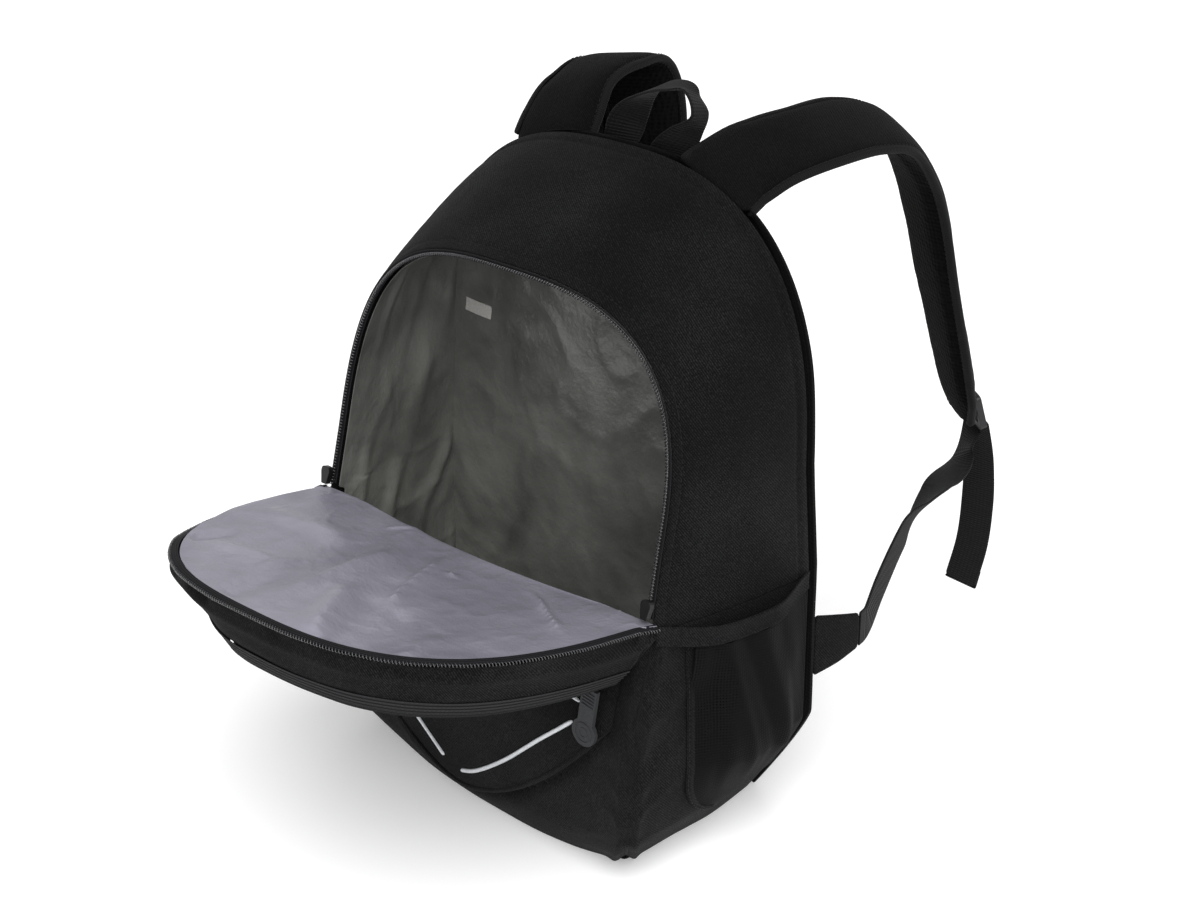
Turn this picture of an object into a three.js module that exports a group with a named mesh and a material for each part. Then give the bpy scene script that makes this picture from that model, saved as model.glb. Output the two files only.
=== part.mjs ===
// Cooler backpack with its front lid folded open, in millimetres, +Z up.
// The front faces -Y, the wearer's back is at +Y, and the origin is the middle of the flat base.
import * as THREE from "three";

// Driving dimensions
const CLEARANCE = 0.3;         // gap between sewn pieces
const FOAM = 6;                // padded, insulated wall
const LINING = 1;              // welded lining film
const TRIM = 2;                // zip tape, mesh and seam trim
const BODY_WIDTH = 331;        // across the seam round the back panel
const BODY_HEIGHT = 422;       // top of the back panel
const BACK_Y = 65;             // rear face of the back panel at its seam
const BACK_PAD = 8;            // thickness of the back panel at its seam
const BACK_CROWN = 4;          // how far the back panel swells in its middle
const HINGE_Z = 179;           // height of the lid's fold
const HINGE_Y = -69;           // the fold's two ends
const FOOT_HEIGHT = 26;        // the front's lower edge starts to round under at this height
const FOOT_DEPTH = 13;         // and comes in by this much
const CORNER_HEIGHT = 32;      // the same at the front corners
const CORNER_DEPTH = 25;
const REAR_CORNER_HEIGHT = 72; // the back panel's lower corners are cut this high
const REAR_CORNER_WIDTH = 45;  // and this wide
const FRONT_SWELL = 11;        // how far the front corners lie ahead of the fold's ends
const FRONT_BOW = 9;           // bow of the front wall in plan near its foot
const FRONT_SKEW = 0.08;       // the filled front stands further out on the right, per millimetre across
const OPENING_WIDTH = 295;     // the arched opening, along its zip
const OPENING_LENGTH = 192;    // up its slope
const OPENING_LEAN = 13;       // degrees that the opening leans back
const OPENING_BOW = 18.4;      // its bow in plan
const SIDE_BOW = 4;            // swell of the side walls
const ZIP_WIDTH = 4;           // coil and tape of the main zip
const ZIP_DEPTH = 3;
const LID_WIDTH = 307;
const LID_TILT = 8.4;          // degrees that the open lid rises to its tip
const LID_BORDER = 24;         // fabric band round the lid, under its zip
const LID_TAPE = 19;           // ribbed tape of the lid's pocket zip
const LID_TUCK = 22;           // how much further the band tucks in on the left
const LID_POCKET_DEPTH = 7;    // how far the lid's pocket face swells below that tape
const LID_POCKET_START = 34;   // distance of the pocket's lower seam from the fold
const BAND_HEIGHT = 13;        // hem round each side at the fold's level
const BAND_SAG = 7;
const POCKET_MOUTH = 11;       // how far the side pocket's mouth stands off the wall
const POCKET_FLOOR = 28;       // height of the mesh's lower seam
const POCKET_CORNER = 40;      // its round lower front corner
const POCKET_FRONT_Y = -44;    // the mesh's front seam
const STRAP_WIDTH = 62;
const STRAP_PAD = 12;
const WEBBING = 25;            // width of all webbing
const WEBBING_THICKNESS = 2;
const BUCKLE_WIDTH = 32;
const BUCKLE_HEIGHT = 27;
const BUCKLE_THICKNESS = 5;
const PIPING = 3;              // diameter of the reflective piping
const OVERLAY = 3;             // padded panel on the front wall
const OVERLAY_WIDTH = 262;
const PULL_LENGTH = 42;
const PULL_THICKNESS = 3;
const PULL_ROUND = 19;         // diameter of the pull's round end
const PULL_NECK = 12;
const PULL_SWING = 10;         // degrees that the pull hangs off plumb
const RING_DIAMETER = 10;
const RING_WIRE = 1.6;
const SLIDER_LENGTH = 12;
const SLIDER_WIDTH = 8;
const SLIDER_THICKNESS = 4;

// Colours and finishes
function finish(color, roughness, metalness = 0) {
  return new THREE.MeshStandardMaterial({ color, roughness, metalness });
}
const FABRIC = finish(0x17181b, 0.9);
const LINING_FILM = finish(0x8c8c90, 0.45);
const ZIP_TAPE = finish(0x101012, 0.7);
const MESH_FABRIC = finish(0x131416, 0.9);
const WEBBING_FABRIC = finish(0x121214, 0.8);
const BUCKLE_PLASTIC = finish(0x2a2b2d, 0.5);
const RUBBER = finish(0x3f4145, 0.65);
const GUNMETAL = finish(0x56565a, 0.3, 1);
const SILVER = finish(0xc4c7cb, 0.4, 0.3);
const LABEL = finish(0xe6e6e6, 0.8);

const bag = new THREE.Group();
const vec = (x, y, z) => new THREE.Vector3(x, y, z);
const radians = THREE.MathUtils.degToRad;
const mix = THREE.MathUtils.lerp;
const ease = (t) => THREE.MathUtils.smoothstep(t, 0, 1);
const SIDES = [{ name: "right", sign: 1 }, { name: "left", sign: -1 }];

// Makes one closed mesh from points and faces, turned so that its faces point out
function addSolid(name, points, faces, material) {
  let volume = 0;
  const cross = new THREE.Vector3();
  for (const [a, b, c] of faces) {
    volume += points[a].dot(cross.crossVectors(points[b], points[c]));
  }
  const turned = volume < 0 ? faces.map(([a, b, c]) => [a, c, b]) : faces;
  const geometry = new THREE.BufferGeometry();
  geometry.setAttribute("position", new THREE.Float32BufferAttribute(points.flatMap((p) => p.toArray()), 3));
  geometry.setIndex(turned.flat());
  geometry.computeVertexNormals();
  const mesh = new THREE.Mesh(geometry, material);
  mesh.name = name;
  bag.add(mesh);
  return mesh;
}

// A wall between two grids of points, [row][column]; a wrapped wall closes on itself row to row
function addWall(name, outer, inner, material, wrapped = false) {
  const rows = outer.length;
  const columns = outer[0].length;
  const points = [...outer.flat(), ...inner.flat()];
  const out = (i, j) => (i % rows) * columns + j;
  const back = (i, j) => rows * columns + (i % rows) * columns + j;
  const faces = [];
  const quad = (a, b, c, d) => faces.push([a, b, c], [a, c, d]);
  const spans = wrapped ? rows : rows - 1;
  for (let i = 0; i < spans; i += 1) {
    for (let j = 0; j < columns - 1; j += 1) {
      quad(out(i, j), out(i, j + 1), out(i + 1, j + 1), out(i + 1, j));
      quad(back(i, j), back(i + 1, j), back(i + 1, j + 1), back(i, j + 1));
    }
    quad(out(i, 0), out(i + 1, 0), back(i + 1, 0), back(i, 0));
    quad(out(i + 1, columns - 1), out(i, columns - 1), back(i, columns - 1), back(i + 1, columns - 1));
  }
  if (!wrapped) {
    for (let j = 0; j < columns - 1; j += 1) {
      quad(out(0, j + 1), out(0, j), back(0, j), back(0, j + 1));
      quad(out(rows - 1, j), out(rows - 1, j + 1), back(rows - 1, j + 1), back(rows - 1, j));
    }
  }
  return addSolid(name, points, faces, material);
}

// A body through rings of points, closed at both ends by fans from each end ring's centre
function addLoft(name, rings, material) {
  const count = rings[0].length;
  const centre = (ring) => ring.reduce((sum, p) => sum.add(p), vec(0, 0, 0)).divideScalar(count);
  const points = [...rings.flat(), centre(rings[0]), centre(rings[rings.length - 1])];
  const first = points.length - 2;
  const last = points.length - 1;
  const faces = [];
  for (let i = 0; i < rings.length - 1; i += 1) {
    for (let j = 0; j < count; j += 1) {
      const next = (j + 1) % count;
      const [a, b] = [i * count + j, i * count + next];
      const [c, d] = [b + count, a + count];
      faces.push([a, b, c], [a, c, d]);
    }
  }
  for (let j = 0; j < count; j += 1) {
    const next = (j + 1) % count;
    const end = (rings.length - 1) * count;
    faces.push([first, next, j], [last, end + j, end + next]);
  }
  return addSolid(name, points, faces, material);
}

// A grid of points from a function of two numbers, each running over its own range
function grid(rows, columns, [u0, u1], [v0, v1], pointAt) {
  return Array.from({ length: rows + 1 }, (_, i) =>
    Array.from({ length: columns + 1 }, (_, j) => pointAt(mix(u0, u1, i / rows), mix(v0, v1, j / columns))));
}

const row = (columns, from, to, pointAt) =>
  Array.from({ length: columns + 1 }, (_, j) => pointAt(mix(from, to, j / columns)));

// The outward normal of a surface given by a function of two numbers
function normalOf(surface, u, v, outward) {
  const step = 1e-3;
  const across = surface(u + step, v).sub(surface(u - step, v));
  const along = surface(u, v + step).sub(surface(u, v - step));
  const normal = across.cross(along).normalize();
  return normal.dot(outward) < 0 ? normal.negate() : normal;
}

// Half of an arch's width and its height: straight sides, then a rounded top. t runs 0 to 1, right to left
function archPoint(t, { width, height, straight, taper, roundness }) {
  const sideShare = 0.16;
  if (t < sideShare || t > 1 - sideShare) {
    const s = Math.min(t, 1 - t) / sideShare;
    return { x: Math.sign(0.5 - t) * (width / 2) * mix(1, taper, s), h: straight * s };
  }
  const angle = ((t - sideShare) / (1 - 2 * sideShare)) * Math.PI;
  const cos = Math.cos(angle);
  const bend = 2 / roundness;
  const rise = Math.abs(Math.sin(angle)) ** bend;
  const x = Math.sign(cos) * Math.abs(cos) ** bend * (width / 2) * taper;
  return { x, h: straight + (height - straight) * rise };
}

// The body's form. The rim of the opening and the seam round the back panel share one parameter:
// 0 to 1 over the arch from right to left, below 0 down the right side, above 1 down the left side
const OPENING = { width: OPENING_WIDTH, height: OPENING_LENGTH, straight: 45, taper: 0.99, roundness: 2.745 };
const REAR = {
  width: BODY_WIDTH, height: BODY_HEIGHT - HINGE_Z, straight: 67, taper: 0.968, roundness: 2.642,
};
const GUSSET_REAR_Y = BACK_Y - BACK_PAD - CLEARANCE;

const cut = (z, height, depth, power) => depth * Math.max(0, 1 - z / height) ** power;
const rearHalfWidth = (z) => BODY_WIDTH / 2 - cut(z, REAR_CORNER_HEIGHT, REAR_CORNER_WIDTH, 1.15);
const cornerCut = (z) => cut(z, CORNER_HEIGHT, CORNER_DEPTH, 1.2);
const footCut = (z) => cut(z, FOOT_HEIGHT, FOOT_DEPTH, 1.5);
const cornerX = (z) => OPENING_WIDTH / 2 - cornerCut(z);
const skew = (x, z) => FRONT_SKEW * x * ease(1 - z / HINGE_Z);
const cornerY = (z, sign) => HINGE_Y - FRONT_SWELL * ease((HINGE_Z - z) / (0.45 * HINGE_Z)) + cornerCut(z)
  - skew(sign * cornerX(z), z);
const frontBow = (z) => mix(FRONT_BOW, OPENING_BOW, ease(z / HINGE_Z));
const openingBow = (x) => OPENING_BOW * (1 - (2 * x / OPENING_WIDTH) ** 2);

function openingRim(t) {
  const { x, h } = archPoint(t, OPENING);
  const lean = radians(OPENING_LEAN);
  return vec(x, HINGE_Y + h * Math.sin(lean) - openingBow(x), HINGE_Z + h * Math.cos(lean));
}

function rearRim(t) {
  const { x, h } = archPoint(t, REAR);
  return vec(x, GUSSET_REAR_Y, HINGE_Z + h);
}

// The swept side of the body: t as above, v from the front edge, 0, to the back panel, 1
function bodySide(t, v) {
  const lowered = t < 0 ? -t : t > 1 ? t - 1 : 0;
  const swell = SIDE_BOW * 4 * v * (1 - v);
  if (lowered > 0) {
    const sign = t < 0.5 ? 1 : -1;
    const z = Math.max(0, HINGE_Z * (1 - lowered));
    const x = mix(cornerX(z), rearHalfWidth(z), v) + swell;
    return vec(sign * x, mix(cornerY(z, sign), GUSSET_REAR_Y, v), z);
  }
  const point = openingRim(t).lerp(rearRim(t), v);
  const outward = vec(point.x, 0, Math.max(0, point.z - HINGE_Z)).normalize();
  return point.addScaledVector(outward, swell);
}

// A point off the side of the body by a distance, outward being positive
function offSide(t, v, distance) {
  const place = bodySide(t, v);
  const outward = vec(place.x, 0, place.z - HINGE_Z);
  const normal = normalOf(bodySide, THREE.MathUtils.clamp(t, -0.998, 1.998), v, outward);
  place.addScaledVector(normal, distance);
  place.y = Math.min(place.y, GUSSET_REAR_Y);
  return place;
}

// The front wall: a runs -1 to 1, left to right, z is the height
function frontFace(a, z) {
  const x = a * cornerX(z);
  const straight = HINGE_Y - FRONT_SWELL * ease((HINGE_Z - z) / (0.45 * HINGE_Z));
  const rounding = mix(footCut(z), cornerCut(z), a ** 4);
  return vec(x, straight - frontBow(z) * (1 - a * a) + rounding - skew(x, z), z);
}

function offFront(a, z, distance) {
  return frontFace(a, z).addScaledVector(normalOf(frontFace, a, z, vec(0, -1, -0.3)), distance);
}

// Heights of the rows of a wall: closer together where its lower edge rounds under
const ROUND_ROWS = 4;
const WALL_ROWS = 10;
const rowHeight = (i, top) => (i <= ROUND_ROWS
  ? CORNER_HEIGHT * (i / ROUND_ROWS)
  : mix(CORNER_HEIGHT, top, (i - ROUND_ROWS) / (WALL_ROWS - ROUND_ROWS)));
const heightRows = (top) => Array.from({ length: WALL_ROWS + 1 }, (_, i) => rowHeight(i, top));

// Where the walls part: just under the hem band
const SPLIT_Z = HINGE_Z - 6;
const splitT = (z) => 1 - z / HINGE_Z;
const sideSpan = (z, sign) => GUSSET_REAR_Y - cornerY(z, sign);
const SIDE_COLUMNS = 5;

// Padded side walls below the fold, mitred into the front wall
for (const { name, sign } of SIDES) {
  const at = (z) => (sign > 0 ? -splitT(z) : 1 + splitT(z));
  const sheet = (distance, start) => heightRows(SPLIT_Z - CLEARANCE).map((z) => row(
    SIDE_COLUMNS, start / sideSpan(z, sign), 1, (v) => offSide(at(z), v, distance)));
  addWall(`side_wall_${name}`, sheet(0, CLEARANCE), sheet(-FOAM, FOAM + CLEARANCE), FABRIC);
}

// The padded strip that arches from one side over the top to the other
const gussetParameters = (count, start) => {
  const low = -splitT(start);
  const rows = [low];
  for (let i = 0; i <= count; i += 1) {
    rows.push(i / count);
  }
  rows.push(1 - low);
  return rows;
};
const ARCH_STEPS = 32;
const gussetRows = gussetParameters(ARCH_STEPS, SPLIT_Z);
const gussetSheet = (distance) => gussetRows.map(
  (t) => row(SIDE_COLUMNS, 0, 1, (v) => offSide(t, v, distance)));
addWall("gusset_top", gussetSheet(0), gussetSheet(-FOAM), FABRIC);

// The open lid's frame: x across, h away from the fold along the lining, w down below the lining
const TILT = radians(LID_TILT);
function lidPoint(x, h, w) {
  const y = HINGE_Y - h * Math.cos(TILT) - w * Math.sin(TILT);
  return vec(x, y, HINGE_Z + h * Math.sin(TILT) - w * Math.cos(TILT));
}
const PAD_BOTTOM = LINING + CLEARANCE + FOAM;
// The front wall ends just under the lid's folded edge
const frontTop = (a) => HINGE_Z + (OPENING_BOW * (1 - a * a) - FOAM - LINING - 3 * CLEARANCE) * Math.tan(TILT)
  - (PAD_BOTTOM + CLEARANCE) / Math.cos(TILT);
const FRONT_COLUMNS = 12;

// One layer of the front wall below the fold: near and far are its depths behind the outer face
function frontSheet(name, near, far, edge, material, foot = 0) {
  const point = (i, s, depth, inset) => {
    const z = Math.max(foot, rowHeight(i, frontTop(s)));
    return offFront(s * (1 - inset / cornerX(z)), z, -depth);
  };
  const sheet = (depth, inset) => Array.from({ length: WALL_ROWS + 1 },
    (_, i) => row(FRONT_COLUMNS, -1, 1, (s) => point(i, s, depth, inset)));
  addWall(name, sheet(near, edge), sheet(far, edge + far - near), material);
}
frontSheet("front_wall", 0, FOAM, CLEARANCE, FABRIC);

// The flat base between the feet of the walls; its bevelled edge follows their slope
const BASE_BEVEL = 2 * FOAM;
{
  const rim = (inset) => {
    const front = row(FRONT_COLUMNS, -1, 1, (s) => {
      const share = 1 - inset / cornerX(0);
      return frontFace(s * share, 0).add(vec(0, inset, 0));
    });
    const side = (sign, from, to) => row(3, from, to, (v) => {
      const place = bodySide(sign > 0 ? -1 : 2, v);
      return place.add(vec(-sign * inset, 0, 0));
    });
    const start = 0.25;
    return [...front, ...side(1, start, 1), ...side(-1, 1, start)];
  };
  const raised = (points, z) => points.map((p) => vec(p.x, p.y, z));
  addLoft("base_panel", [raised(rim(2 * CLEARANCE), 0), raised(rim(BASE_BEVEL), FOAM)], FABRIC);
}

// The seam outline of the back panel, inset by a distance, from the right foot over the top to the left foot
function rearOutline(inset, footHeight = 0) {
  const outline = [];
  const slanted = (z) => (z <= REAR_CORNER_HEIGHT ? 1.4 : 1);
  const side = (z, sign) => vec(sign * (rearHalfWidth(z) - inset * slanted(z)), 0, z);
  const heights = [0, 0.25, 0.5, 0.75, 1].map((share) => Math.max(share * REAR_CORNER_HEIGHT, footHeight));
  const rising = [...heights.filter((z, i) => i === 0 || z > heights[i - 1]), HINGE_Z];
  for (const z of rising) {
    outline.push(side(z, 1));
  }
  const steps = 30;
  for (let i = 1; i < steps; i += 1) {
    const { x, h } = archPoint(i / steps, REAR);
    const before = archPoint((i - 0.1) / steps, REAR);
    const after = archPoint((i + 0.1) / steps, REAR);
    const tangent = new THREE.Vector2(after.x - before.x, after.h - before.h).normalize();
    outline.push(vec(x - tangent.y * inset, 0, HINGE_Z + h + tangent.x * inset));
  }
  for (const z of [...rising].reverse()) {
    outline.push(side(z, -1));
  }
  return outline;
}
const atDepth = (outline, y) => outline.map((p) => vec(p.x, y, p.z));
// Shrinks an outline toward a middle point, for the crown of a padded panel
const shrink = (outline, share, middle) => outline.map(
  (p) => p.clone().sub(middle).multiplyScalar(share).add(middle));

// The padded back panel, whose rear face swells a little
{
  const outline = rearOutline(0);
  const middle = vec(0, 0, BODY_HEIGHT * 0.45);
  const front = BACK_Y - BACK_PAD;
  const rear = [
    { share: 1, crown: 0 },
    { share: 0.985, crown: 0.35 },
    { share: 0.9, crown: 0.75 },
    { share: 0.6, crown: 1 },
  ];
  addLoft("back_panel", [
    atDepth(shrink(outline, 0.6, middle), front),
    atDepth(outline, front),
    ...rear.map(({ share, crown }) => atDepth(shrink(outline, share, middle), BACK_Y + BACK_CROWN * crown)),
  ], FABRIC);
}

// The lining: a sleeve round the sides, top and floor, with a back sheet and a front sheet
const SLEEVE = FOAM + 2 * CLEARANCE;
{
  const low = heightRows(SPLIT_Z - CLEARANCE).map((z) => -splitT(z));
  const parameters = [...low, ...gussetRows.slice(1, -1), ...[...low].reverse().map((t) => 1 - t)];
  const start = (t) => {
    const folded = t < 0 || t > 1;
    const z = t < 0 ? HINGE_Z * (1 + t) : HINGE_Z * (2 - t);
    return folded ? (FOAM + 3 * CLEARANCE) / sideSpan(z, t < 0 ? 1 : -1) : 0;
  };
  const sleeve = (distance) => parameters.map((t) => row(SIDE_COLUMNS, start(t), 1, (v) => {
    const place = offSide(t, v, -distance);
    place.z = Math.max(place.z, distance);
    return place;
  }));
  addWall("lining_sleeve", sleeve(SLEEVE), sleeve(SLEEVE + LINING), LINING_FILM, true);
}
const SHEET_EDGE = SLEEVE + LINING + 3 * CLEARANCE;
{
  const outline = rearOutline(SHEET_EDGE, SHEET_EDGE);
  const depths = [GUSSET_REAR_Y - LINING, GUSSET_REAR_Y];
  addLoft("lining_back", depths.map((y) => atDepth(outline, y)), LINING_FILM);
}
frontSheet("lining_front", SLEEVE, SLEEVE + LINING, SHEET_EDGE, LINING_FILM, SHEET_EDGE);

// The care label, blank, on the lining's back sheet
const LABEL_WIDTH = 25;
const LABEL_HEIGHT = 13;
{
  const label = new THREE.Mesh(new THREE.BoxGeometry(LABEL_WIDTH, 0.6, LABEL_HEIGHT), LABEL);
  label.name = "care_label";
  label.position.set(-0.77 * BODY_WIDTH / 2, GUSSET_REAR_Y - LINING - CLEARANCE - 0.3, 0.665 * BODY_HEIGHT);
  bag.add(label);
}

// The main zip's half on the body: a coil and tape along the rim of the opening
const SECTION = [[-1, -1], [1, -1], [1, 1], [-1, 1]];
function addStrip(name, frames, width, depth, material) {
  addLoft(name, frames.map(({ at, wide, deep }) => SECTION.map(([a, b]) => at.clone()
    .addScaledVector(wide, a * width / 2).addScaledVector(deep, b * depth / 2))), material);
}
{
  const parameters = gussetParameters(34, SPLIT_Z).slice(1, -1)
    .map((t) => THREE.MathUtils.clamp(t, 0.02, 0.98));
  addStrip("body_zip", parameters.map((t) => {
    const edge = offSide(t, 0, -ZIP_WIDTH / 2);
    const inner = offSide(t, 0, -ZIP_WIDTH);
    const wide = edge.clone().sub(inner).normalize();
    const run = bodySide(t, 0).sub(bodySide(t, 0.02)).normalize();
    return { at: edge.addScaledVector(run, ZIP_DEPTH / 2 + 2 * CLEARANCE), wide, deep: run };
  }), ZIP_WIDTH, ZIP_DEPTH, ZIP_TAPE);
}

// The lid. Its rim follows a D; inset moves a point in from the rim
const LID = { width: LID_WIDTH, height: OPENING_LENGTH, straight: 16, taper: 0.98, roundness: 2.75 };
const tuckShare = (t) => ease((t - 0.5) / 0.12) * ease((1 - t) / 0.15);
function lidRim(t, rimInset, w) {
  const { x, h } = archPoint(t, LID);
  const inset = rimInset + LID_TUCK * tuckShare(t) * ease((w - PAD_BOTTOM) / LID_BORDER);
  const step = 2e-3;
  const before = archPoint(Math.max(0, t - step), LID);
  const after = archPoint(Math.min(1, t + step), LID);
  const tangent = new THREE.Vector2(after.x - before.x, after.h - before.h).normalize();
  return { x: x - tangent.y * inset, h: h + tangent.x * inset, w };
}
const foldEdge = (x) => Math.max(openingBow(x) - FOAM - LINING - 2 * CLEARANCE, 1);
// Closed outline of the lid's panels: round the rim and back along the fold
function lidOutline(inset, foldAt, w = 0) {
  const steps = 36;
  const foldSteps = 10;
  const above = ({ x, h }) => h - foldAt(x);
  const outline = [];
  let last = null;
  for (let i = 0; i <= steps; i += 1) {
    const point = lidRim(i / steps, inset, w);
    if (last && (above(last) > 0) !== (above(point) > 0)) {
      const share = above(last) / (above(last) - above(point));
      const x = mix(last.x, point.x, share);
      outline.push({ x, h: foldAt(x) });
    }
    if (above(point) > 0) {
      outline.push({ x: point.x, h: point.h });
    }
    last = point;
  }
  const [start, end] = [outline[outline.length - 1].x, outline[0].x];
  for (let i = 1; i < foldSteps; i += 1) {
    const x = mix(start, end, i / foldSteps);
    outline.push({ x, h: foldAt(x) });
  }
  return outline;
}
const onLid = (outline, w) => outline.map(({ x, h }) => lidPoint(x, h, w));
const RIM = ZIP_WIDTH + 4 * CLEARANCE;
addLoft("lid_lining", [0, LINING].map((w) => onLid(lidOutline(RIM + 1, foldEdge), w)), LINING_FILM);
addLoft("lid_pad", [LINING + CLEARANCE, PAD_BOTTOM].map((w) => onLid(lidOutline(RIM, foldEdge), w)), FABRIC);

// Strips that follow the lid's rim, each given by its corner points in the rim's own section
function addRimStrip(name, corners, material, [from, to] = [0.04, 0.96], steps = 38) {
  const rings = Array.from({ length: steps + 1 }, (_, i) => {
    const t = mix(from, to, i / steps);
    const fade = ease(Math.min(t, 1 - t) / 0.16);
    return corners.map(({ inset, w, endW = w }) => {
      const depth = mix(endW, w, fade);
      const place = lidRim(t, inset, depth);
      return lidPoint(place.x, place.h, depth);
    });
  });
  addLoft(name, rings, material);
}
addRimStrip("lid_zip", [
  { inset: 0, w: -0.5 },
  { inset: ZIP_WIDTH, w: -0.5 },
  { inset: ZIP_WIDTH, w: ZIP_DEPTH },
  { inset: 0, w: ZIP_DEPTH },
], ZIP_TAPE);
const BORDER_TOP = ZIP_DEPTH + CLEARANCE;
const BORDER_END = BORDER_TOP + LID_BORDER * 0.45;
const BORDER_FOOT = BORDER_TOP + LID_BORDER;
const BORDER_MIDDLE = (BORDER_TOP + BORDER_FOOT) / 2;
const BORDER_MIDDLE_END = (BORDER_TOP + BORDER_END) / 2;
const FOOT_INSET = 6;
addRimStrip("lid_border", [
  { inset: 0.5, w: BORDER_TOP },
  { inset: 0.5 + TRIM, w: BORDER_TOP },
  { inset: 2 + TRIM, w: BORDER_MIDDLE, endW: BORDER_MIDDLE_END },
  { inset: FOOT_INSET + TRIM, w: BORDER_FOOT, endW: BORDER_END },
  { inset: FOOT_INSET, w: BORDER_FOOT, endW: BORDER_END },
  { inset: 1, w: BORDER_MIDDLE, endW: BORDER_MIDDLE_END },
], FABRIC);
// The ribbed tape of the pocket zip slopes in below the band
const TAPE_DROP = LID_TAPE * 0.75;
const TAPE_REACH = LID_TAPE * 0.65;
const TAPE_ENDS = [0.16, 0.84];
const TAPE_TOP = BORDER_FOOT + CLEARANCE;
addRimStrip("lid_pocket_zip", [
  { inset: FOOT_INSET, w: TAPE_TOP },
  { inset: FOOT_INSET + TRIM, w: TAPE_TOP },
  { inset: FOOT_INSET + TRIM + TAPE_REACH, w: TAPE_TOP + TAPE_DROP },
  { inset: FOOT_INSET + TAPE_REACH, w: TAPE_TOP + TAPE_DROP + TRIM },
], ZIP_TAPE, TAPE_ENDS, 34);

// The swollen face of the lid's pocket, hollow above
{
  const rimInset = FOOT_INSET + TAPE_REACH + TRIM + CLEARANCE;
  const rimW = TAPE_TOP + TAPE_DROP + CLEARANCE;
  const middle = { x: 0, h: mix(LID_POCKET_START, OPENING_LENGTH, 0.5) };
  const outline = lidOutline(rimInset, () => LID_POCKET_START, rimW);
  const ring = (share, depth) => outline.map(({ x, h }) => lidPoint(
    mix(middle.x, x, share), mix(middle.h, h, share), rimW + depth));
  const crowns = [
    { share: 1, swell: 0 },
    { share: 0.95, swell: 0.45 },
    { share: 0.82, swell: 0.8 },
    { share: 0.5, swell: 1 },
  ];
  const under = crowns.map(({ share, swell }) => ring(share, TRIM + swell * (LID_POCKET_DEPTH - TRIM)));
  const inside = crowns.map(({ share, swell }) => ring(share * 0.985, swell * (LID_POCKET_DEPTH - TRIM)));
  addLoft("lid_pocket_face", [...inside.reverse(), ...under], FABRIC);
}

// The padded overlay on the front wall, whose lower seam curves like a smile
const OVERLAY_LOW = 20;
const OVERLAY_RISE = 88;
const OVERLAY_TOP = 150;
const OVERLAY_GAP = 4 * CLEARANCE;
const smile = (share) => OVERLAY_LOW + OVERLAY_RISE * Math.abs(share) ** 1.8;
const onFront = (x, z, distance) => offFront(x / cornerX(z), z, distance);
{
  const face = (distance) => grid(16, 5, [-1, 1], [0, 1], (share, v) => onFront(
    share * OVERLAY_WIDTH / 2, mix(smile(share), OVERLAY_TOP, v ** 1.8), distance));
  addWall("front_overlay", face(OVERLAY_GAP + OVERLAY), face(OVERLAY_GAP), FABRIC);
}

// Reflective piping on the overlay: two arms of a V and the upper line that the lid half hides.
// The columns are shares of half the overlay's width and of its height
const PIPING_TABLES = {
  reflective_piping_right: [
    { across: 0.07, up: 0.10 },
    { across: 0.20, up: 0.19 },
    { across: 0.35, up: 0.30 },
    { across: 0.61, up: 0.52 },
    { across: 0.80, up: 0.67 },
  ],
  reflective_piping_left: [
    { across: -0.10, up: 0.115 },
    { across: -0.20, up: 0.19 },
    { across: -0.35, up: 0.30 },
    { across: -0.61, up: 0.52 },
    { across: -0.80, up: 0.67 },
  ],
  reflective_piping_top: [
    { across: -0.83, up: 0.77 },
    { across: -0.62, up: 0.84 },
    { across: -0.3, up: 0.91 },
    { across: 0, up: 0.93 },
    { across: 0.3, up: 0.91 },
    { across: 0.62, up: 0.84 },
    { across: 0.83, up: 0.77 },
  ],
};
for (const [name, table] of Object.entries(PIPING_TABLES)) {
  const places = table.map(({ across, up }) => vec(
    across * OVERLAY_WIDTH / 2, 0, mix(OVERLAY_LOW, OVERLAY_TOP, up)));
  const path = new THREE.CatmullRomCurve3(places);
  const steps = 4 * (table.length - 1);
  const rings = Array.from({ length: steps + 1 }, (_, i) => {
    const flat = path.getPoint(i / steps);
    const run = path.getTangent(i / steps);
    const centre = onFront(flat.x, flat.z, OVERLAY_GAP + 2 * CLEARANCE + OVERLAY + PIPING / 2);
    const out = vec(0, -1, 0);
    const across = new THREE.Vector3().crossVectors(run, out).normalize();
    return Array.from({ length: 6 }, (_, k) => {
      const angle = (k / 6) * 2 * Math.PI;
      return centre.clone().addScaledVector(across, Math.cos(angle) * PIPING / 2)
        .addScaledVector(out, Math.sin(angle) * PIPING / 2);
    });
  });
  addLoft(name, rings, SILVER);
}

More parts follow.
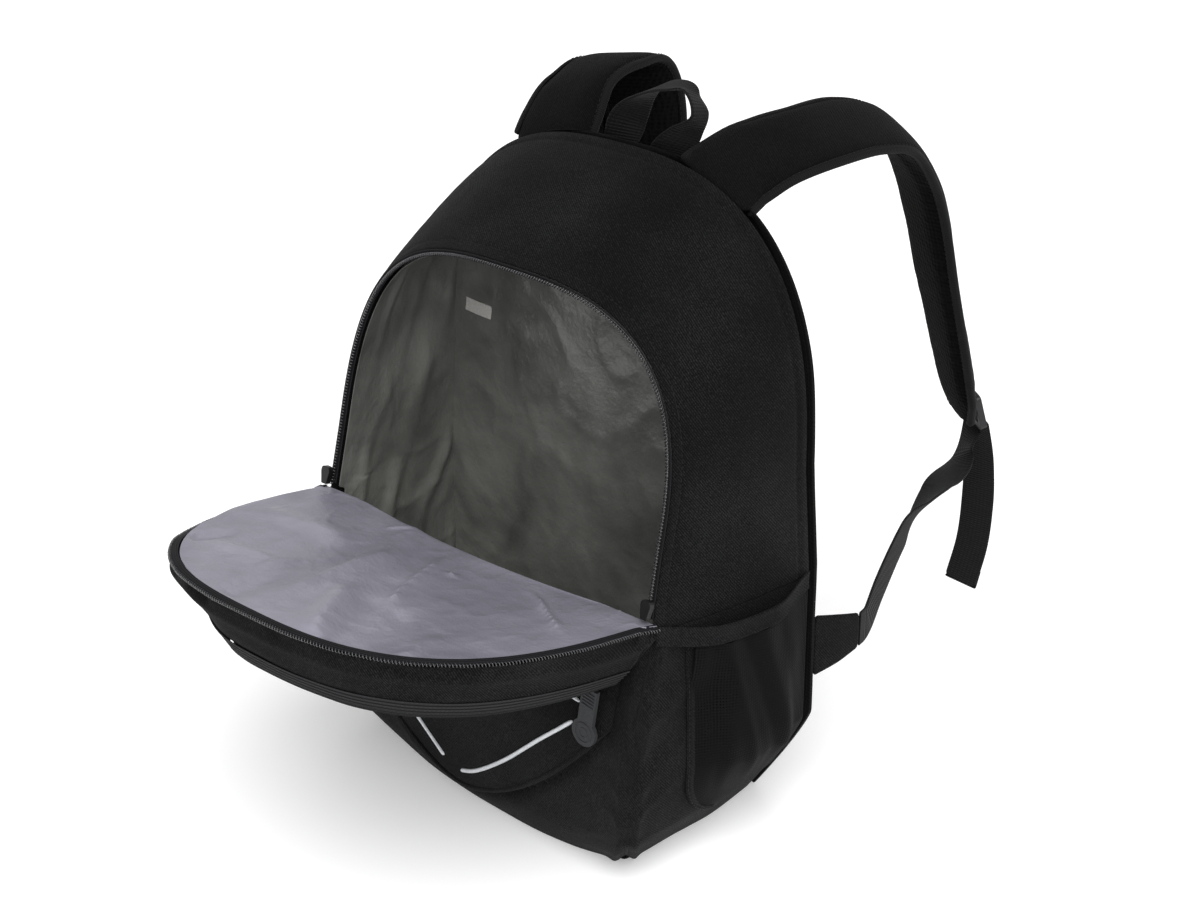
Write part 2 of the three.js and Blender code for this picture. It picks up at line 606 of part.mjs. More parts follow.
// The hem band and the mesh pocket on each side
const bandTop = (v) => HINGE_Z - 1 - BAND_SAG * 4 * v * (1 - v);
const mouthLift = (v) => POCKET_MOUTH * ease(v / 0.35) * ease((1 - v) / 0.35);
const MESH_GAP = 3 * CLEARANCE;
const meshStart = (z, sign) => (POCKET_FRONT_Y - cornerY(z, sign)) / sideSpan(z, sign);
for (const { name, sign } of SIDES) {
  const at = (z) => (sign > 0 ? -splitT(z) : 1 + splitT(z));
  const band = (distance) => grid(12, 2, [0.01, 0.99], [0, 1], (v, s) => {
    const z = bandTop(v) - s * BAND_HEIGHT;
    return offSide(at(z), v, distance + mouthLift(v));
  });
  addWall(`side_band_${name}`, band(CLEARANCE + TRIM), band(CLEARANCE), FABRIC);

  // The mesh bellies out between its sewn edges, with a round lower front corner
  const meshFront = (z) => {
    const low = Math.max(0, (POCKET_FLOOR + POCKET_CORNER - z) / POCKET_CORNER);
    const round = 1 - Math.sqrt(Math.max(0, 1 - low * low));
    return meshStart(z, sign) + (POCKET_CORNER / sideSpan(z, sign)) * round;
  };
  const mesh = (distance) => grid(11, 7, [0, 1], [0, 1], (share, across) => {
    const up = share ** 1.4;
    const v = mix(meshFront(mix(POCKET_FLOOR, HINGE_Z - BAND_HEIGHT, up)), 0.99, across);
    const z = mix(POCKET_FLOOR, bandTop(v) - BAND_HEIGHT - CLEARANCE, up);
    const belly = mix(0, 1, ease(up / 0.45)) * POCKET_MOUTH * ease(across / 0.3) * ease((1 - across) / 0.3);
    const held = mouthLift(v);
    return offSide(at(z), v, distance + mix(belly, held, ease((up - 0.7) / 0.3)));
  });
  addWall(`mesh_pocket_${name}`, mesh(MESH_GAP + TRIM / 2), mesh(MESH_GAP), MESH_FABRIC);
}

// A flat band swept along its middle line; rows give its place, its width's direction and its size,
// and at either end perhaps the direction that it leaves in
const END_RINGS = 3;
function addBand(name, rows, thickness, material, steps, rounding = 0.3) {
  const middle = new THREE.CatmullRomCurve3(rows.map((row) => row.at), false, "centripetal");
  const directions = rows.map((row) => row.wide.clone().normalize());
  const widths = new THREE.CatmullRomCurve3(directions, false, "centripetal");
  const sizes = rows.map((row) => row.width);
  const rings = Array.from({ length: steps + 1 }, (_, i) => {
    const t = i / steps;
    const run = middle.getTangent(t);
    const near = t < 0.5 ? rows[0] : rows[rows.length - 1];
    if (near.run) {
      run.lerp(near.run, Math.max(0, 1 - Math.min(i, steps - i) / END_RINGS)).normalize();
    }
    const wide = widths.getPoint(t);
    wide.addScaledVector(run, -wide.dot(run)).normalize();
    const deep = new THREE.Vector3().crossVectors(wide, run).normalize();
    const place = t * (sizes.length - 1);
    const k = Math.min(Math.floor(place), sizes.length - 2);
    const half = mix(sizes[k], sizes[k + 1], place - k) / 2;
    const thick = thickness / 2;
    const edge = rounding * thick;
    const section = rounding > 0
      ? [[-half, -edge], [-half + thick, -thick], [half - thick, -thick], [half, -edge],
        [half, edge], [half - thick, thick], [-half + thick, thick], [-half, edge]]
      : [[-half, -thick], [half, -thick], [half, thick], [-half, thick]];
    return section.map(([a, b]) => middle.getPoint(t).addScaledVector(wide, a).addScaledVector(deep, b));
  });
  addLoft(name, rings, material);
}

// Shoulder straps. The columns are shares: back, of the strap's reach behind the back panel; up, of
// its rise above the root; down, of its drop below the root; side, of the strap's width, outward;
// turn, tip are the degrees that its width turns about the vertical and dips outward
const STRAP_TABLES = {
  right: {
    reach: 238, rise: 24, drop: 218, rows: [
      { back: 0.00, up: 0.00, down: 0.00, side: 0.00, turn: 0, tip: 24, size: 1.05 },
      { back: 0.04, up: 0.28, down: 0.00, side: 0.02, turn: 0, tip: 24, size: 1.02 },
      { back: 0.13, up: 0.74, down: 0.00, side: 0.20, turn: -10, tip: 24, size: 1 },
      { back: 0.25, up: 1.00, down: 0.00, side: 0.38, turn: -16, tip: 22, size: 1 },
      { back: 0.42, up: 1.00, down: 0.00, side: 0.44, turn: -18, tip: 20, size: 1 },
      { back: 0.57, up: 0.55, down: 0.00, side: 0.46, turn: -22, tip: 14, size: 1 },
      { back: 0.68, up: 0.00, down: 0.08, side: 0.46, turn: -24, tip: 6, size: 1 },
      { back: 0.75, up: 0.00, down: 0.24, side: 0.46, turn: -26, tip: 0, size: 1 },
      { back: 0.82, up: 0.00, down: 0.46, side: 0.46, turn: -28, tip: 0, size: 1 },
      { back: 0.90, up: 0.00, down: 0.70, side: 0.46, turn: -30, tip: 0, size: 1 },
      { back: 0.96, up: 0.00, down: 0.88, side: 0.46, turn: -31, tip: 0, size: 0.92 },
      { back: 1.00, up: 0.00, down: 1.00, side: 0.46, turn: -31, tip: 0, size: 0.5 },
    ],
  },
  left: {
    reach: 112, rise: 38, drop: 205, rows: [
      { back: 0.00, up: 0.00, down: 0.00, side: 0.00, turn: 0, tip: 24, size: 1.05 },
      { back: 0.12, up: 0.30, down: 0.00, side: 0.01, turn: 0, tip: 22, size: 1.02 },
      { back: 0.24, up: 0.84, down: 0.00, side: 0.03, turn: 6, tip: 18, size: 1 },
      { back: 0.46, up: 1.00, down: 0.00, side: 0.00, turn: 8, tip: 10, size: 1 },
      { back: 0.70, up: 0.90, down: 0.00, side: -0.02, turn: 6, tip: 6, size: 1 },
      { back: 0.90, up: 0.30, down: 0.00, side: -0.03, turn: 0, tip: 4, size: 1 },
      { back: 0.98, up: 0.00, down: 0.15, side: -0.03, turn: 0, tip: 0, size: 1 },
      { back: 1.00, up: 0.00, down: 0.42, side: -0.02, turn: 0, tip: 0, size: 1 },
      { back: 0.98, up: 0.00, down: 0.72, side: 0.00, turn: 0, tip: 0, size: 1 },
      { back: 0.95, up: 0.00, down: 0.90, side: 0.02, turn: 0, tip: 0, size: 0.92 },
      { back: 0.92, up: 0.00, down: 1.00, side: 0.02, turn: 0, tip: 0, size: 0.5 },
    ],
  },
};
const ROOT_X = 77;
// Height of the back panel's seam above a place across it
function seamHeight(x) {
  const share = Math.abs(x) / (REAR.width / 2 * REAR.taper);
  const rise = (1 - share ** REAR.roundness) ** (1 / REAR.roundness);
  return HINGE_Z + REAR.straight + (REAR.height - REAR.straight) * rise;
}
const strapEnds = {};
for (const { name, sign } of SIDES) {
  const { reach, rise, drop, rows } = STRAP_TABLES[name];
  const rootY = BACK_Y + BACK_CROWN * 0.5 + 2 * CLEARANCE;
  const root = vec(sign * ROOT_X, rootY, seamHeight(ROOT_X) - STRAP_PAD / 2);
  const places = rows.map((row) => ({
    at: root.clone()
      .add(vec(sign * row.side * STRAP_WIDTH, row.back * reach, row.up * rise - row.down * drop)),
    wide: vec(sign * Math.cos(radians(row.turn)) * Math.cos(radians(row.tip)),
      Math.sin(radians(row.turn)) * Math.cos(radians(row.tip)), -Math.sin(radians(row.tip))),
    width: row.size * STRAP_WIDTH,
  }));
  places[0].run = vec(0, 1, 0);
  addBand(`shoulder_strap_${name}`, places, STRAP_PAD, FABRIC, 26);
  const end = places[places.length - 1];
  const run = end.at.clone().sub(places[places.length - 2].at).normalize();
  const wide = end.wide.clone().addScaledVector(run, -end.wide.dot(run)).normalize();
  let out = new THREE.Vector3().crossVectors(wide, run).normalize();
  if (out.y < 0) {
    out = out.negate();
  }
  strapEnds[name] = { at: end.at, run, wide, out };
}

// The ladder-lock buckle behind each strap's lower end, a frame with two slots
const BUCKLE_BAR = 5;
function buckleGeometry() {
  const [w, h] = [BUCKLE_WIDTH / 2, BUCKLE_HEIGHT / 2];
  const corner = 3;
  const shape = new THREE.Shape();
  shape.moveTo(-w + corner, -h);
  shape.lineTo(w - corner, -h);
  shape.quadraticCurveTo(w, -h, w, -h + corner);
  shape.lineTo(w - 2, h - corner);
  shape.quadraticCurveTo(w - 2, h, w - 2 - corner, h);
  shape.lineTo(-w + 2 + corner, h);
  shape.quadraticCurveTo(-w + 2, h, -w + 2, h - corner);
  shape.lineTo(-w, -h + corner);
  shape.quadraticCurveTo(-w, -h, -w + corner, -h);
  const slotHeight = (BUCKLE_HEIGHT - 3 * BUCKLE_BAR) / 2;
  for (const low of [-h + BUCKLE_BAR, BUCKLE_BAR / 2]) {
    const slot = new THREE.Path();
    const side = WEBBING / 2 + CLEARANCE;
    slot.moveTo(-side, low);
    slot.lineTo(-side, low + slotHeight);
    slot.lineTo(side, low + slotHeight);
    slot.lineTo(side, low);
    slot.closePath();
    shape.holes.push(slot);
  }
  const flat = { depth: BUCKLE_THICKNESS, bevelEnabled: false, curveSegments: 3 };
  const geometry = new THREE.ExtrudeGeometry(shape, flat);
  geometry.translate(0, 0, -BUCKLE_THICKNESS / 2);
  return geometry;
}

const TAIL_CURVE = 6;
const TAB_LOW = 96;
const TAB_HIGH = 140;
const TAB_REACH = 38;
const TAB_LEAN = 7;
const TAIL_LENGTH = 124;
// Lower webbing from the buckle to the tab: shares of the way and of its rise, and its twist in degrees
const LOWER_TABLES = {
  right: [
    { way: 0.00, lift: 0.00, turn: 0 },
    { way: 0.12, lift: -0.9, turn: 0 },
    { way: 0.34, lift: 0.10, turn: 35 },
    { way: 0.52, lift: 0.75, turn: 75 },
    { way: 0.68, lift: 1.00, turn: 90 },
    { way: 0.84, lift: 0.35, turn: 90 },
    { way: 0.94, lift: -0.32, turn: 90 },
    { way: 1.00, lift: 0.00, turn: 90 },
  ],
  left: [
    { way: 0.00, lift: 0.00, turn: 0 },
    { way: 0.15, lift: -0.70, turn: 5 },
    { way: 0.40, lift: -1.30, turn: 40 },
    { way: 0.65, lift: -1.60, turn: 80 },
    { way: 0.85, lift: -1.10, turn: 90 },
    { way: 1.00, lift: 0.00, turn: 90 },
  ],
};
const LOWER_RISE = 0.054;      // of its length
for (const { name, sign } of SIDES) {
  const { at, run, wide, out } = strapEnds[name];
  // The buckle lies against the strap's rear face, over its end
  const lift = STRAP_PAD / 2 + BUCKLE_THICKNESS / 2 + CLEARANCE;
  const centre = at.clone().addScaledVector(run, -BUCKLE_HEIGHT * 0.35).addScaledVector(out, lift);
  const buckle = new THREE.Mesh(buckleGeometry(), BUCKLE_PLASTIC);
  buckle.name = `ladder_lock_${name}`;
  const up = run.clone().negate();
  const axisX = new THREE.Vector3().crossVectors(up, out).normalize();
  buckle.quaternion.setFromRotationMatrix(new THREE.Matrix4().makeBasis(axisX, up, out));
  buckle.position.copy(centre);
  bag.add(buckle);

  // The tail hangs from the buckle's rear face, and its end is folded and stitched
  const behind = BUCKLE_THICKNESS / 2 + 2 * CLEARANCE + WEBBING_THICKNESS / 2;
  const tailTop = centre.clone().addScaledVector(out, behind)
    .addScaledVector(run, BUCKLE_HEIGHT / 2 - CLEARANCE);
  const tailRows = [0, 0.25, 0.5, 0.75, 1].map((share) => ({
    at: vec(tailTop.x, tailTop.y + TAIL_CURVE * Math.sin(share * Math.PI * 0.75),
      tailTop.z - share * TAIL_LENGTH),
    wide: wide.clone().setZ(0),
    width: WEBBING,
  }));
  addBand(`webbing_tail_${name}`, tailRows, WEBBING_THICKNESS, WEBBING_FABRIC, 10, 0);

  // The tab, a folded triangle sewn into the seam of the back panel
  const middle = (TAB_LOW + TAB_HIGH) / 2;
  const seamX = rearHalfWidth(middle) - TRIM;
  const tabY = BACK_Y + BACK_CROWN * 0.35 + CLEARANCE;
  const tabRows = [
    { at: vec(sign * seamX, tabY, middle), wide: vec(0, 0, 1), width: TAB_HIGH - TAB_LOW },
    { at: vec(sign * (seamX + TAB_LEAN * 0.7), tabY + TAB_REACH * 0.5, middle), wide: vec(0, 0, 1),
      width: (TAB_HIGH - TAB_LOW) * 0.8 },
    { at: vec(sign * (seamX + TAB_LEAN), tabY + TAB_REACH, middle), wide: vec(0, 0, 1), width: WEBBING },
  ];
  addBand(`strap_tab_${name}`, tabRows, TRIM + 0.5, FABRIC, 4, 0);

  // The lower webbing, twisting on its way from the buckle to the tab
  const start = centre.clone().addScaledVector(run, BUCKLE_HEIGHT / 2 + 2 * TRIM)
    .addScaledVector(out, -TRIM);
  const finishAt = vec(sign * (seamX + TAB_LEAN), tabY + TAB_REACH + 3 * CLEARANCE, middle);
  const rise = LOWER_RISE * start.distanceTo(finishAt);
  const lowerRows = LOWER_TABLES[name].map(({ way, lift: raised, turn }) => ({
    at: start.clone().lerp(finishAt, way).add(vec(0, 0, rise * raised)),
    wide: wide.clone().setZ(0).normalize().multiplyScalar(Math.cos(radians(turn)))
      .add(vec(0, 0, Math.sin(radians(turn)))),
    width: WEBBING,
  }));
  lowerRows[0].run = run;
  lowerRows[lowerRows.length - 1].run = vec(0, -1, 0);
  addBand(`lower_webbing_${name}`, lowerRows, WEBBING_THICKNESS, WEBBING_FABRIC, 22, 0);
}

// The carry handle, a loop of webbing on the top seam; across is its place from the middle,
// up its height as a share of the loop's height, turn the twist of its width
const HANDLE_HEIGHT = 44;
const HANDLE_SPAN = 78;
const HANDLE_ROWS = [
  { across: -0.30, up: 0.03, back: 0.0, turn: 15 },
  { across: -0.16, up: 0.42, back: 0.05, turn: 50 },
  { across: 0.04, up: 0.76, back: 0.15, turn: 80 },
  { across: 0.30, up: 0.97, back: 0.2, turn: 90 },
  { across: 0.56, up: 1.00, back: 0.2, turn: 90 },
  { across: 0.72, up: 0.74, back: 0.15, turn: 80 },
  { across: 0.56, up: 0.42, back: 0.0, turn: 50 },
  { across: 0.35, up: 0.02, back: 0.0, turn: 15 },
];
{
  const standOff = WEBBING / 2 * Math.sin(radians(HANDLE_ROWS[0].turn)) + WEBBING_THICKNESS;
  const footY = BACK_Y + BACK_CROWN * 0.35 + standOff;
  const rows = HANDLE_ROWS.map(({ across, up, back, turn }) => ({
    at: vec(across * HANDLE_SPAN, footY + back * WEBBING,
      seamHeight(across * HANDLE_SPAN) - FOAM + up * HANDLE_HEIGHT),
    wide: vec(Math.cos(radians(turn)), Math.sin(radians(turn)), 0),
    width: WEBBING,
  }));
  rows[0].run = vec(0, 0, 1);
  rows[rows.length - 1].run = vec(0, 0, -1);
  addBand("grab_handle", rows, WEBBING_THICKNESS, WEBBING_FABRIC, 22, 0);
}

// Sliders at both ends of the main zip, and the pocket's slider with its ring and rubber pull
function sliderGeometry() {
  const [w, l] = [SLIDER_WIDTH / 2, SLIDER_LENGTH / 2];
  const shape = new THREE.Shape();
  shape.moveTo(-w * 0.6, -l);
  shape.lineTo(w * 0.6, -l);
  shape.lineTo(w, l * 0.4);
  shape.quadraticCurveTo(w, l, w * 0.4, l);
  shape.lineTo(-w * 0.4, l);
  shape.quadraticCurveTo(-w, l, -w, l * 0.4);
  shape.closePath();
  const flat = { depth: SLIDER_THICKNESS, bevelEnabled: false, curveSegments: 3 };
  const geometry = new THREE.ExtrudeGeometry(shape, flat);
  geometry.translate(0, 0, -SLIDER_THICKNESS / 2);
  return geometry;
}
for (const { name, sign } of SIDES) {
  const slider = new THREE.Mesh(sliderGeometry(), GUNMETAL);
  slider.name = `main_slider_${name}`;
  const foot = openingRim(sign > 0 ? 0.02 : 0.98);
  slider.position.set(sign * (OPENING_WIDTH / 2 - ZIP_WIDTH / 2),
    foot.y - ZIP_DEPTH - CLEARANCE - SLIDER_THICKNESS / 2, foot.z + SLIDER_LENGTH / 2 - 1);
  slider.rotation.x = Math.PI / 2 - radians(OPENING_LEAN);
  bag.add(slider);
}
{
  // The pocket's slider lies inside the right end of its tape
  const depth = TAPE_TOP + SLIDER_THICKNESS / 2 + TRIM;
  const place = lidRim(TAPE_ENDS[0] + 0.004, FOOT_INSET + TRIM + TAPE_REACH + SLIDER_WIDTH * 0.3, depth);
  const centre = lidPoint(place.x, place.h, depth);
  const slider = new THREE.Mesh(sliderGeometry(), GUNMETAL);
  slider.name = "pocket_slider";
  slider.position.copy(centre);
  bag.add(slider);
  const torus = new THREE.TorusGeometry(RING_DIAMETER / 2 - RING_WIRE / 2, RING_WIRE / 2, 6, 14);
  const ring = new THREE.Mesh(torus, GUNMETAL);
  ring.name = "pull_ring";
  ring.rotation.x = Math.PI / 2;
  ring.position.copy(centre).add(vec(-TRIM, 0, -SLIDER_THICKNESS / 2 - RING_DIAMETER / 2 - CLEARANCE));
  bag.add(ring);

  // The pull: a neck that widens to a round end
  const r = PULL_ROUND / 2;
  const shape = new THREE.Shape();
  const top = PULL_LENGTH - r;
  shape.moveTo(-PULL_NECK / 2, top);
  shape.lineTo(-PULL_NECK / 2, r * 0.9);
  shape.absarc(0, 0, r, Math.PI * 0.72, Math.PI * 2.28, false);
  shape.lineTo(PULL_NECK / 2, r * 0.9);
  shape.lineTo(PULL_NECK / 2, top);
  shape.closePath();
  const pull = new THREE.Mesh(new THREE.ExtrudeGeometry(shape,
    { depth: PULL_THICKNESS, bevelEnabled: false, curveSegments: 16 }), RUBBER);
  pull.name = "rubber_pull";
  pull.rotation.set(Math.PI / 2, 0, 0);
  pull.position.set(0, PULL_THICKNESS / 2, -RING_DIAMETER / 2 - CLEARANCE - top);
  const hanging = new THREE.Group();
  hanging.position.copy(ring.position);
  hanging.rotation.y = radians(PULL_SWING);
  hanging.add(pull);
  bag.add(hanging);
}

export default bag;
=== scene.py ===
"""Cooler backpack with its front lid folded open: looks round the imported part, in metres, +Z up."""
import math

import bpy
import numpy as np
from mathutils import Matrix, Vector, noise


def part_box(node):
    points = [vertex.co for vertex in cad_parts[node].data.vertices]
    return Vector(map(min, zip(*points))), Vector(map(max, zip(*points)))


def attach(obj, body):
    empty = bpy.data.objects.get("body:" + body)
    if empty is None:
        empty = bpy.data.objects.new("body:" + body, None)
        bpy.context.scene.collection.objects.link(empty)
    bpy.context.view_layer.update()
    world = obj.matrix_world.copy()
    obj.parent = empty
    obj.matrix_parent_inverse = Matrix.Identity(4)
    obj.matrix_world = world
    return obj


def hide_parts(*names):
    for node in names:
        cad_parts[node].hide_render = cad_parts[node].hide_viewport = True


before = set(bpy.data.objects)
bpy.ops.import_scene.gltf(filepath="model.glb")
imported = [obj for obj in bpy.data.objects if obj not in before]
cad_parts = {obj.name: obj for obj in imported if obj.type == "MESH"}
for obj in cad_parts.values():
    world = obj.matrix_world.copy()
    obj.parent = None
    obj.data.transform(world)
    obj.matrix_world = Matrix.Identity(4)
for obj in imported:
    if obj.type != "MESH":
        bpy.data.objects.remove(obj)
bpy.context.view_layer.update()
MM = 0.001

# Camera at the photograph's angle
camera_data = bpy.data.cameras.new("camera")
camera_data.lens = 70.496
camera_data.sensor_width = 36.0
camera = bpy.data.objects.new("camera", camera_data)
bpy.context.scene.collection.objects.link(camera)
camera.location = (0.98216, -0.99814, 0.82644)
CAMERA_TARGET = Vector((0.03846, 0.0, 0.23882))
camera.rotation_euler = (CAMERA_TARGET - camera.location).to_track_quat("-Z", "Y").to_euler()
bpy.context.scene.camera = camera
# Plain display, so that the black cloth stays black and the floor white
bpy.context.scene.view_settings.view_transform = "Standard"


# Numbers shared by the pieces, in millimetres
def mix(a, b, t):
    return a + (b - a) * t


def ease(t):
    t = min(max(t, 0.0), 1.0)
    return t * t * (3 - 2 * t)


def bump(x, width):
    return math.exp(-((x / width) ** 2))


def wander(point, size, seed=0.0):
    """Smooth noise of about -1 to 1 whose hills are size millimetres apart."""
    return noise.noise(Vector(point) / size + Vector((seed, 3.1 * seed, 7.7)))


FOAM = 6.0
LINING = 1.0
CLEARANCE = 0.3
BODY_WIDTH = 331.0
BACK_Y = 65.0
BACK_PAD = 8.0
BACK_CROWN = 4.0
HINGE_Z = 179.0
HINGE_Y = -69.0
REAR_Y = BACK_Y - BACK_PAD - CLEARANCE
SPLIT_Z = HINGE_Z - 6
# Thicknesses of cloth, film and tape, and the webbing's size
CLOTH = 1.8
FACE_CLOTH = 1.6
FILM = 0.5
TAPE_THICK = 0.8
WEBBING_WIDTH = 25
WEBBING_THICK = 1.9
SLEEVE = FOAM + 2 * CLEARANCE
OPENING_BOW = 18.4
OPENING_WIDTH = 295.0
LEAN = math.radians(13)
TILT = math.radians(8.4)
OPENING = {"width": 295, "height": 192, "straight": 45, "taper": 0.99, "roundness": 2.745}
REAR = {"width": 331, "height": 243, "straight": 67, "taper": 0.968, "roundness": 2.642}
LID = {"width": 307, "height": 192, "straight": 16, "taper": 0.98, "roundness": 2.75}


def arch(t, width, height, straight, taper, roundness):
    """A point of an arch across and up: straight sides, then a rounded top; t runs right to left."""
    share = 0.16
    if t < share or t > 1 - share:
        s = min(t, 1 - t) / share
        return math.copysign(width / 2 * mix(1, taper, s), 0.5 - t), straight * s
    angle = (t - share) / (1 - 2 * share) * math.pi
    bend = 2 / roundness
    cosine = math.cos(angle)
    rise = abs(math.sin(angle)) ** bend
    x = math.copysign(abs(cosine) ** bend, cosine) * width / 2 * taper
    return x, straight + (height - straight) * rise


def cut(z, height, depth, power):
    return depth * max(0.0, 1 - z / height) ** power


def rear_half(z):
    return BODY_WIDTH / 2 - cut(z, 72, 45, 1.15)


def corner_x(z):
    return OPENING_WIDTH / 2 - cut(z, 32, 25, 1.2)


def front_line(z):
    return HINGE_Y - 11 * ease((HINGE_Z - z) / (0.45 * HINGE_Z))


def skew(x, z):
    return 0.08 * x * ease(1 - z / HINGE_Z)


def corner_y(z, sign):
    return front_line(z) + cut(z, 32, 25, 1.2) - skew(sign * corner_x(z), z)


def opening_bow(x):
    return OPENING_BOW * (1 - (2 * x / OPENING_WIDTH) ** 2)


def opening_rim(t):
    x, h = arch(t, **OPENING)
    return Vector((x, HINGE_Y + h * math.sin(LEAN) - opening_bow(x), HINGE_Z + h * math.cos(LEAN)))


def rear_rim(t):
    x, h = arch(t, **REAR)
    return Vector((x, REAR_Y, HINGE_Z + h))


def body_side(t, v):
    """The swept side: t 0 to 1 over the arch and outside that down the sides, v front to back."""
    lowered = -t if t < 0 else t - 1 if t > 1 else 0
    swell = 4 * 4 * v * (1 - v)
    if lowered > 0:
        sign = 1 if t < 0.5 else -1
        z = max(0.0, HINGE_Z * (1 - lowered))
        x = mix(corner_x(z), rear_half(z), v) + swell
        return Vector((sign * x, mix(corner_y(z, sign), REAR_Y, v), z))
    point = opening_rim(t).lerp(rear_rim(t), v)
    outward = Vector((point.x, 0, max(0.0, point.z - HINGE_Z))).normalized()
    return point + outward * swell


def normal_of(surface, u, v, outward):
    step = 1e-3
    across = surface(u + step, v) - surface(u - step, v)
    along = surface(u, v + step) - surface(u, v - step)
    normal = across.cross(along).normalized()
    return -normal if normal.dot(outward) < 0 else normal


def off_side(t, v, distance):
    place = body_side(t, v)
    outward = Vector((place.x, 0, place.z - HINGE_Z))
    normal = normal_of(body_side, min(max(t, -0.998), 1.998), v, outward)
    place += normal * distance
    place.y = min(place.y, REAR_Y)
    return place


def front_face(a, z):
    bow = mix(9, OPENING_BOW, ease(z / HINGE_Z))
    rounding = mix(cut(z, 26, 13, 1.5), cut(z, 32, 25, 1.2), a ** 4)
    x = a * corner_x(z)
    return Vector((x, front_line(z) - bow * (1 - a * a) + rounding - skew(x, z), z))


def off_front(a, z, distance):
    return front_face(a, z) + normal_of(front_face, a, z, Vector((0, -1, -0.3))) * distance


def side_t(z, sign):
    return z / HINGE_Z - 1 if sign > 0 else 2 - z / HINGE_Z


def side_span(z, sign):
    return REAR_Y - corner_y(z, sign)


def lid_point(x, h, w):
    """A place on the open lid: across, away from its fold, and below its lining."""
    y = HINGE_Y - h * math.cos(TILT) - w * math.sin(TILT)
    return Vector((x, y, HINGE_Z + h * math.sin(TILT) - w * math.cos(TILT)))


PAD_BOTTOM = LINING + CLEARANCE + FOAM


def lid_rim(t, inset, w):
    x, h = arch(t, **LID)
    tuck = ease((t - 0.5) / 0.12) * ease((1 - t) / 0.15)
    inset += (22 * tuck + 15 * bump(t - 0.83, 0.085)) * ease((w - PAD_BOTTOM) / 24)
    before = Vector(arch(max(0, t - 2e-3), **LID))
    after = Vector(arch(min(1, t + 2e-3), **LID))
    tangent = (after - before).normalized()
    return x - tangent.y * inset, h + tangent.x * inset


def fold_edge(x):
    return max(opening_bow(x) - FOAM - LINING - 2 * CLEARANCE, 1)


# Mesh tools
def only(piece):
    bpy.ops.object.select_all(action="DESELECT")
    piece.select_set(True)
    bpy.context.view_layer.objects.active = piece


def apply_all(piece):
    only(piece)
    for modifier in list(piece.modifiers):
        bpy.ops.object.modifier_apply(modifier=modifier.name)


def face_outward(piece, outward):
    """Turns a sheet so that its faces look along outward, a direction or a function of a place."""
    total = 0.0
    for face in piece.data.polygons:
        way = outward(face.center) if callable(outward) else outward
        total += face.area * face.normal.dot(way)
    if total < 0:
        only(piece)
        bpy.ops.object.mode_set(mode="EDIT")
        bpy.ops.mesh.select_all(action="SELECT")
        bpy.ops.mesh.flip_normals()
        bpy.ops.object.mode_set(mode="OBJECT")


def sheet_piece(name, us, vs, place, thickness, outward, rim=0.6, smooth=1, closed=False):
    """A cloth sheet: a grid laid on place(u, v), given its thickness inward and its rounded rim."""
    bpy.ops.object.select_all(action="DESELECT")
    columns, rows = len(us) - 1, len(vs) - 1
    bpy.ops.mesh.primitive_grid_add(x_subdivisions=columns, y_subdivisions=rows, size=2)
    piece = bpy.context.object
    piece.name = piece.data.name = name
    points = {}
    for i, u in enumerate(us):
        for j, v in enumerate(vs):
            points[i, j] = Vector(place(u, v)) * MM
    along = [0.0]
    for i in range(columns):
        along.append(along[-1] + (points[i + 1, rows // 2] - points[i, rows // 2]).length)
    across = [0.0]
    for j in range(rows):
        across.append(across[-1] + (points[columns // 2, j + 1] - points[columns // 2, j]).length)
    layer = piece.data.uv_layers.active
    index = {}
    for vertex in piece.data.vertices:
        i = round((vertex.co.x + 1) / 2 * columns)
        j = round((vertex.co.y + 1) / 2 * rows)
        index[vertex.index] = (i, j)
        vertex.co = points[i, j]
    for loop in piece.data.loops:
        i, j = index[loop.vertex_index]
        layer.data[loop.index].uv = (along[i], across[j])
    if closed:
        only(piece)
        bpy.ops.object.mode_set(mode="EDIT")
        bpy.ops.mesh.select_all(action="SELECT")
        bpy.ops.mesh.remove_doubles(threshold=1e-5)
        bpy.ops.object.mode_set(mode="OBJECT")
    piece.data.update()
    face_outward(piece, outward)
    if thickness:
        solid = piece.modifiers.new("thickness", "SOLIDIFY")
        solid.thickness = thickness * MM
        solid.offset = -1
        solid.use_even_offset = True
        solid.thickness_clamp = 1.0
        if rim:
            soft = piece.modifiers.new("rim", "BEVEL")
            soft.width = rim * MM
            soft.segments = 2
            soft.limit_method = "ANGLE"
            soft.angle_limit = math.radians(55)
    if smooth:
        round_off = piece.modifiers.new("smooth", "SUBSURF")
        round_off.levels = round_off.render_levels = smooth
    apply_all(piece)
    bpy.ops.object.shade_smooth()
    return piece


def spline(points, t):
    """A smooth curve through points, centripetal, with t from 0 to 1."""
    count = len(points)
    place = (count - 1) * t
    i = min(int(place), count - 2)
    w = place - i
    p1, p2 = points[i], points[i + 1]
    p0 = points[i - 1] if i > 0 else 2 * p1 - p2
    p3 = points[i + 2] if i + 2 < count else 2 * p2 - p1
    d0, d1, d2 = (max(np.linalg.norm(b - a) ** 0.5, 1e-4) for a, b in ((p0, p1), (p1, p2), (p2, p3)))
    m1 = ((p1 - p0) / d0 - (p2 - p0) / (d0 + d1) + (p2 - p1) / d1) * d1
    m2 = ((p2 - p1) / d1 - (p3 - p1) / (d1 + d2) + (p3 - p2) / d2) * d1
    w2, w3 = w * w, w * w * w
    return (2 * w3 - 3 * w2 + 1) * p1 + (w3 - 2 * w2 + w) * m1 + (3 * w2 - 2 * w3) * p2 + (w3 - w2) * m2


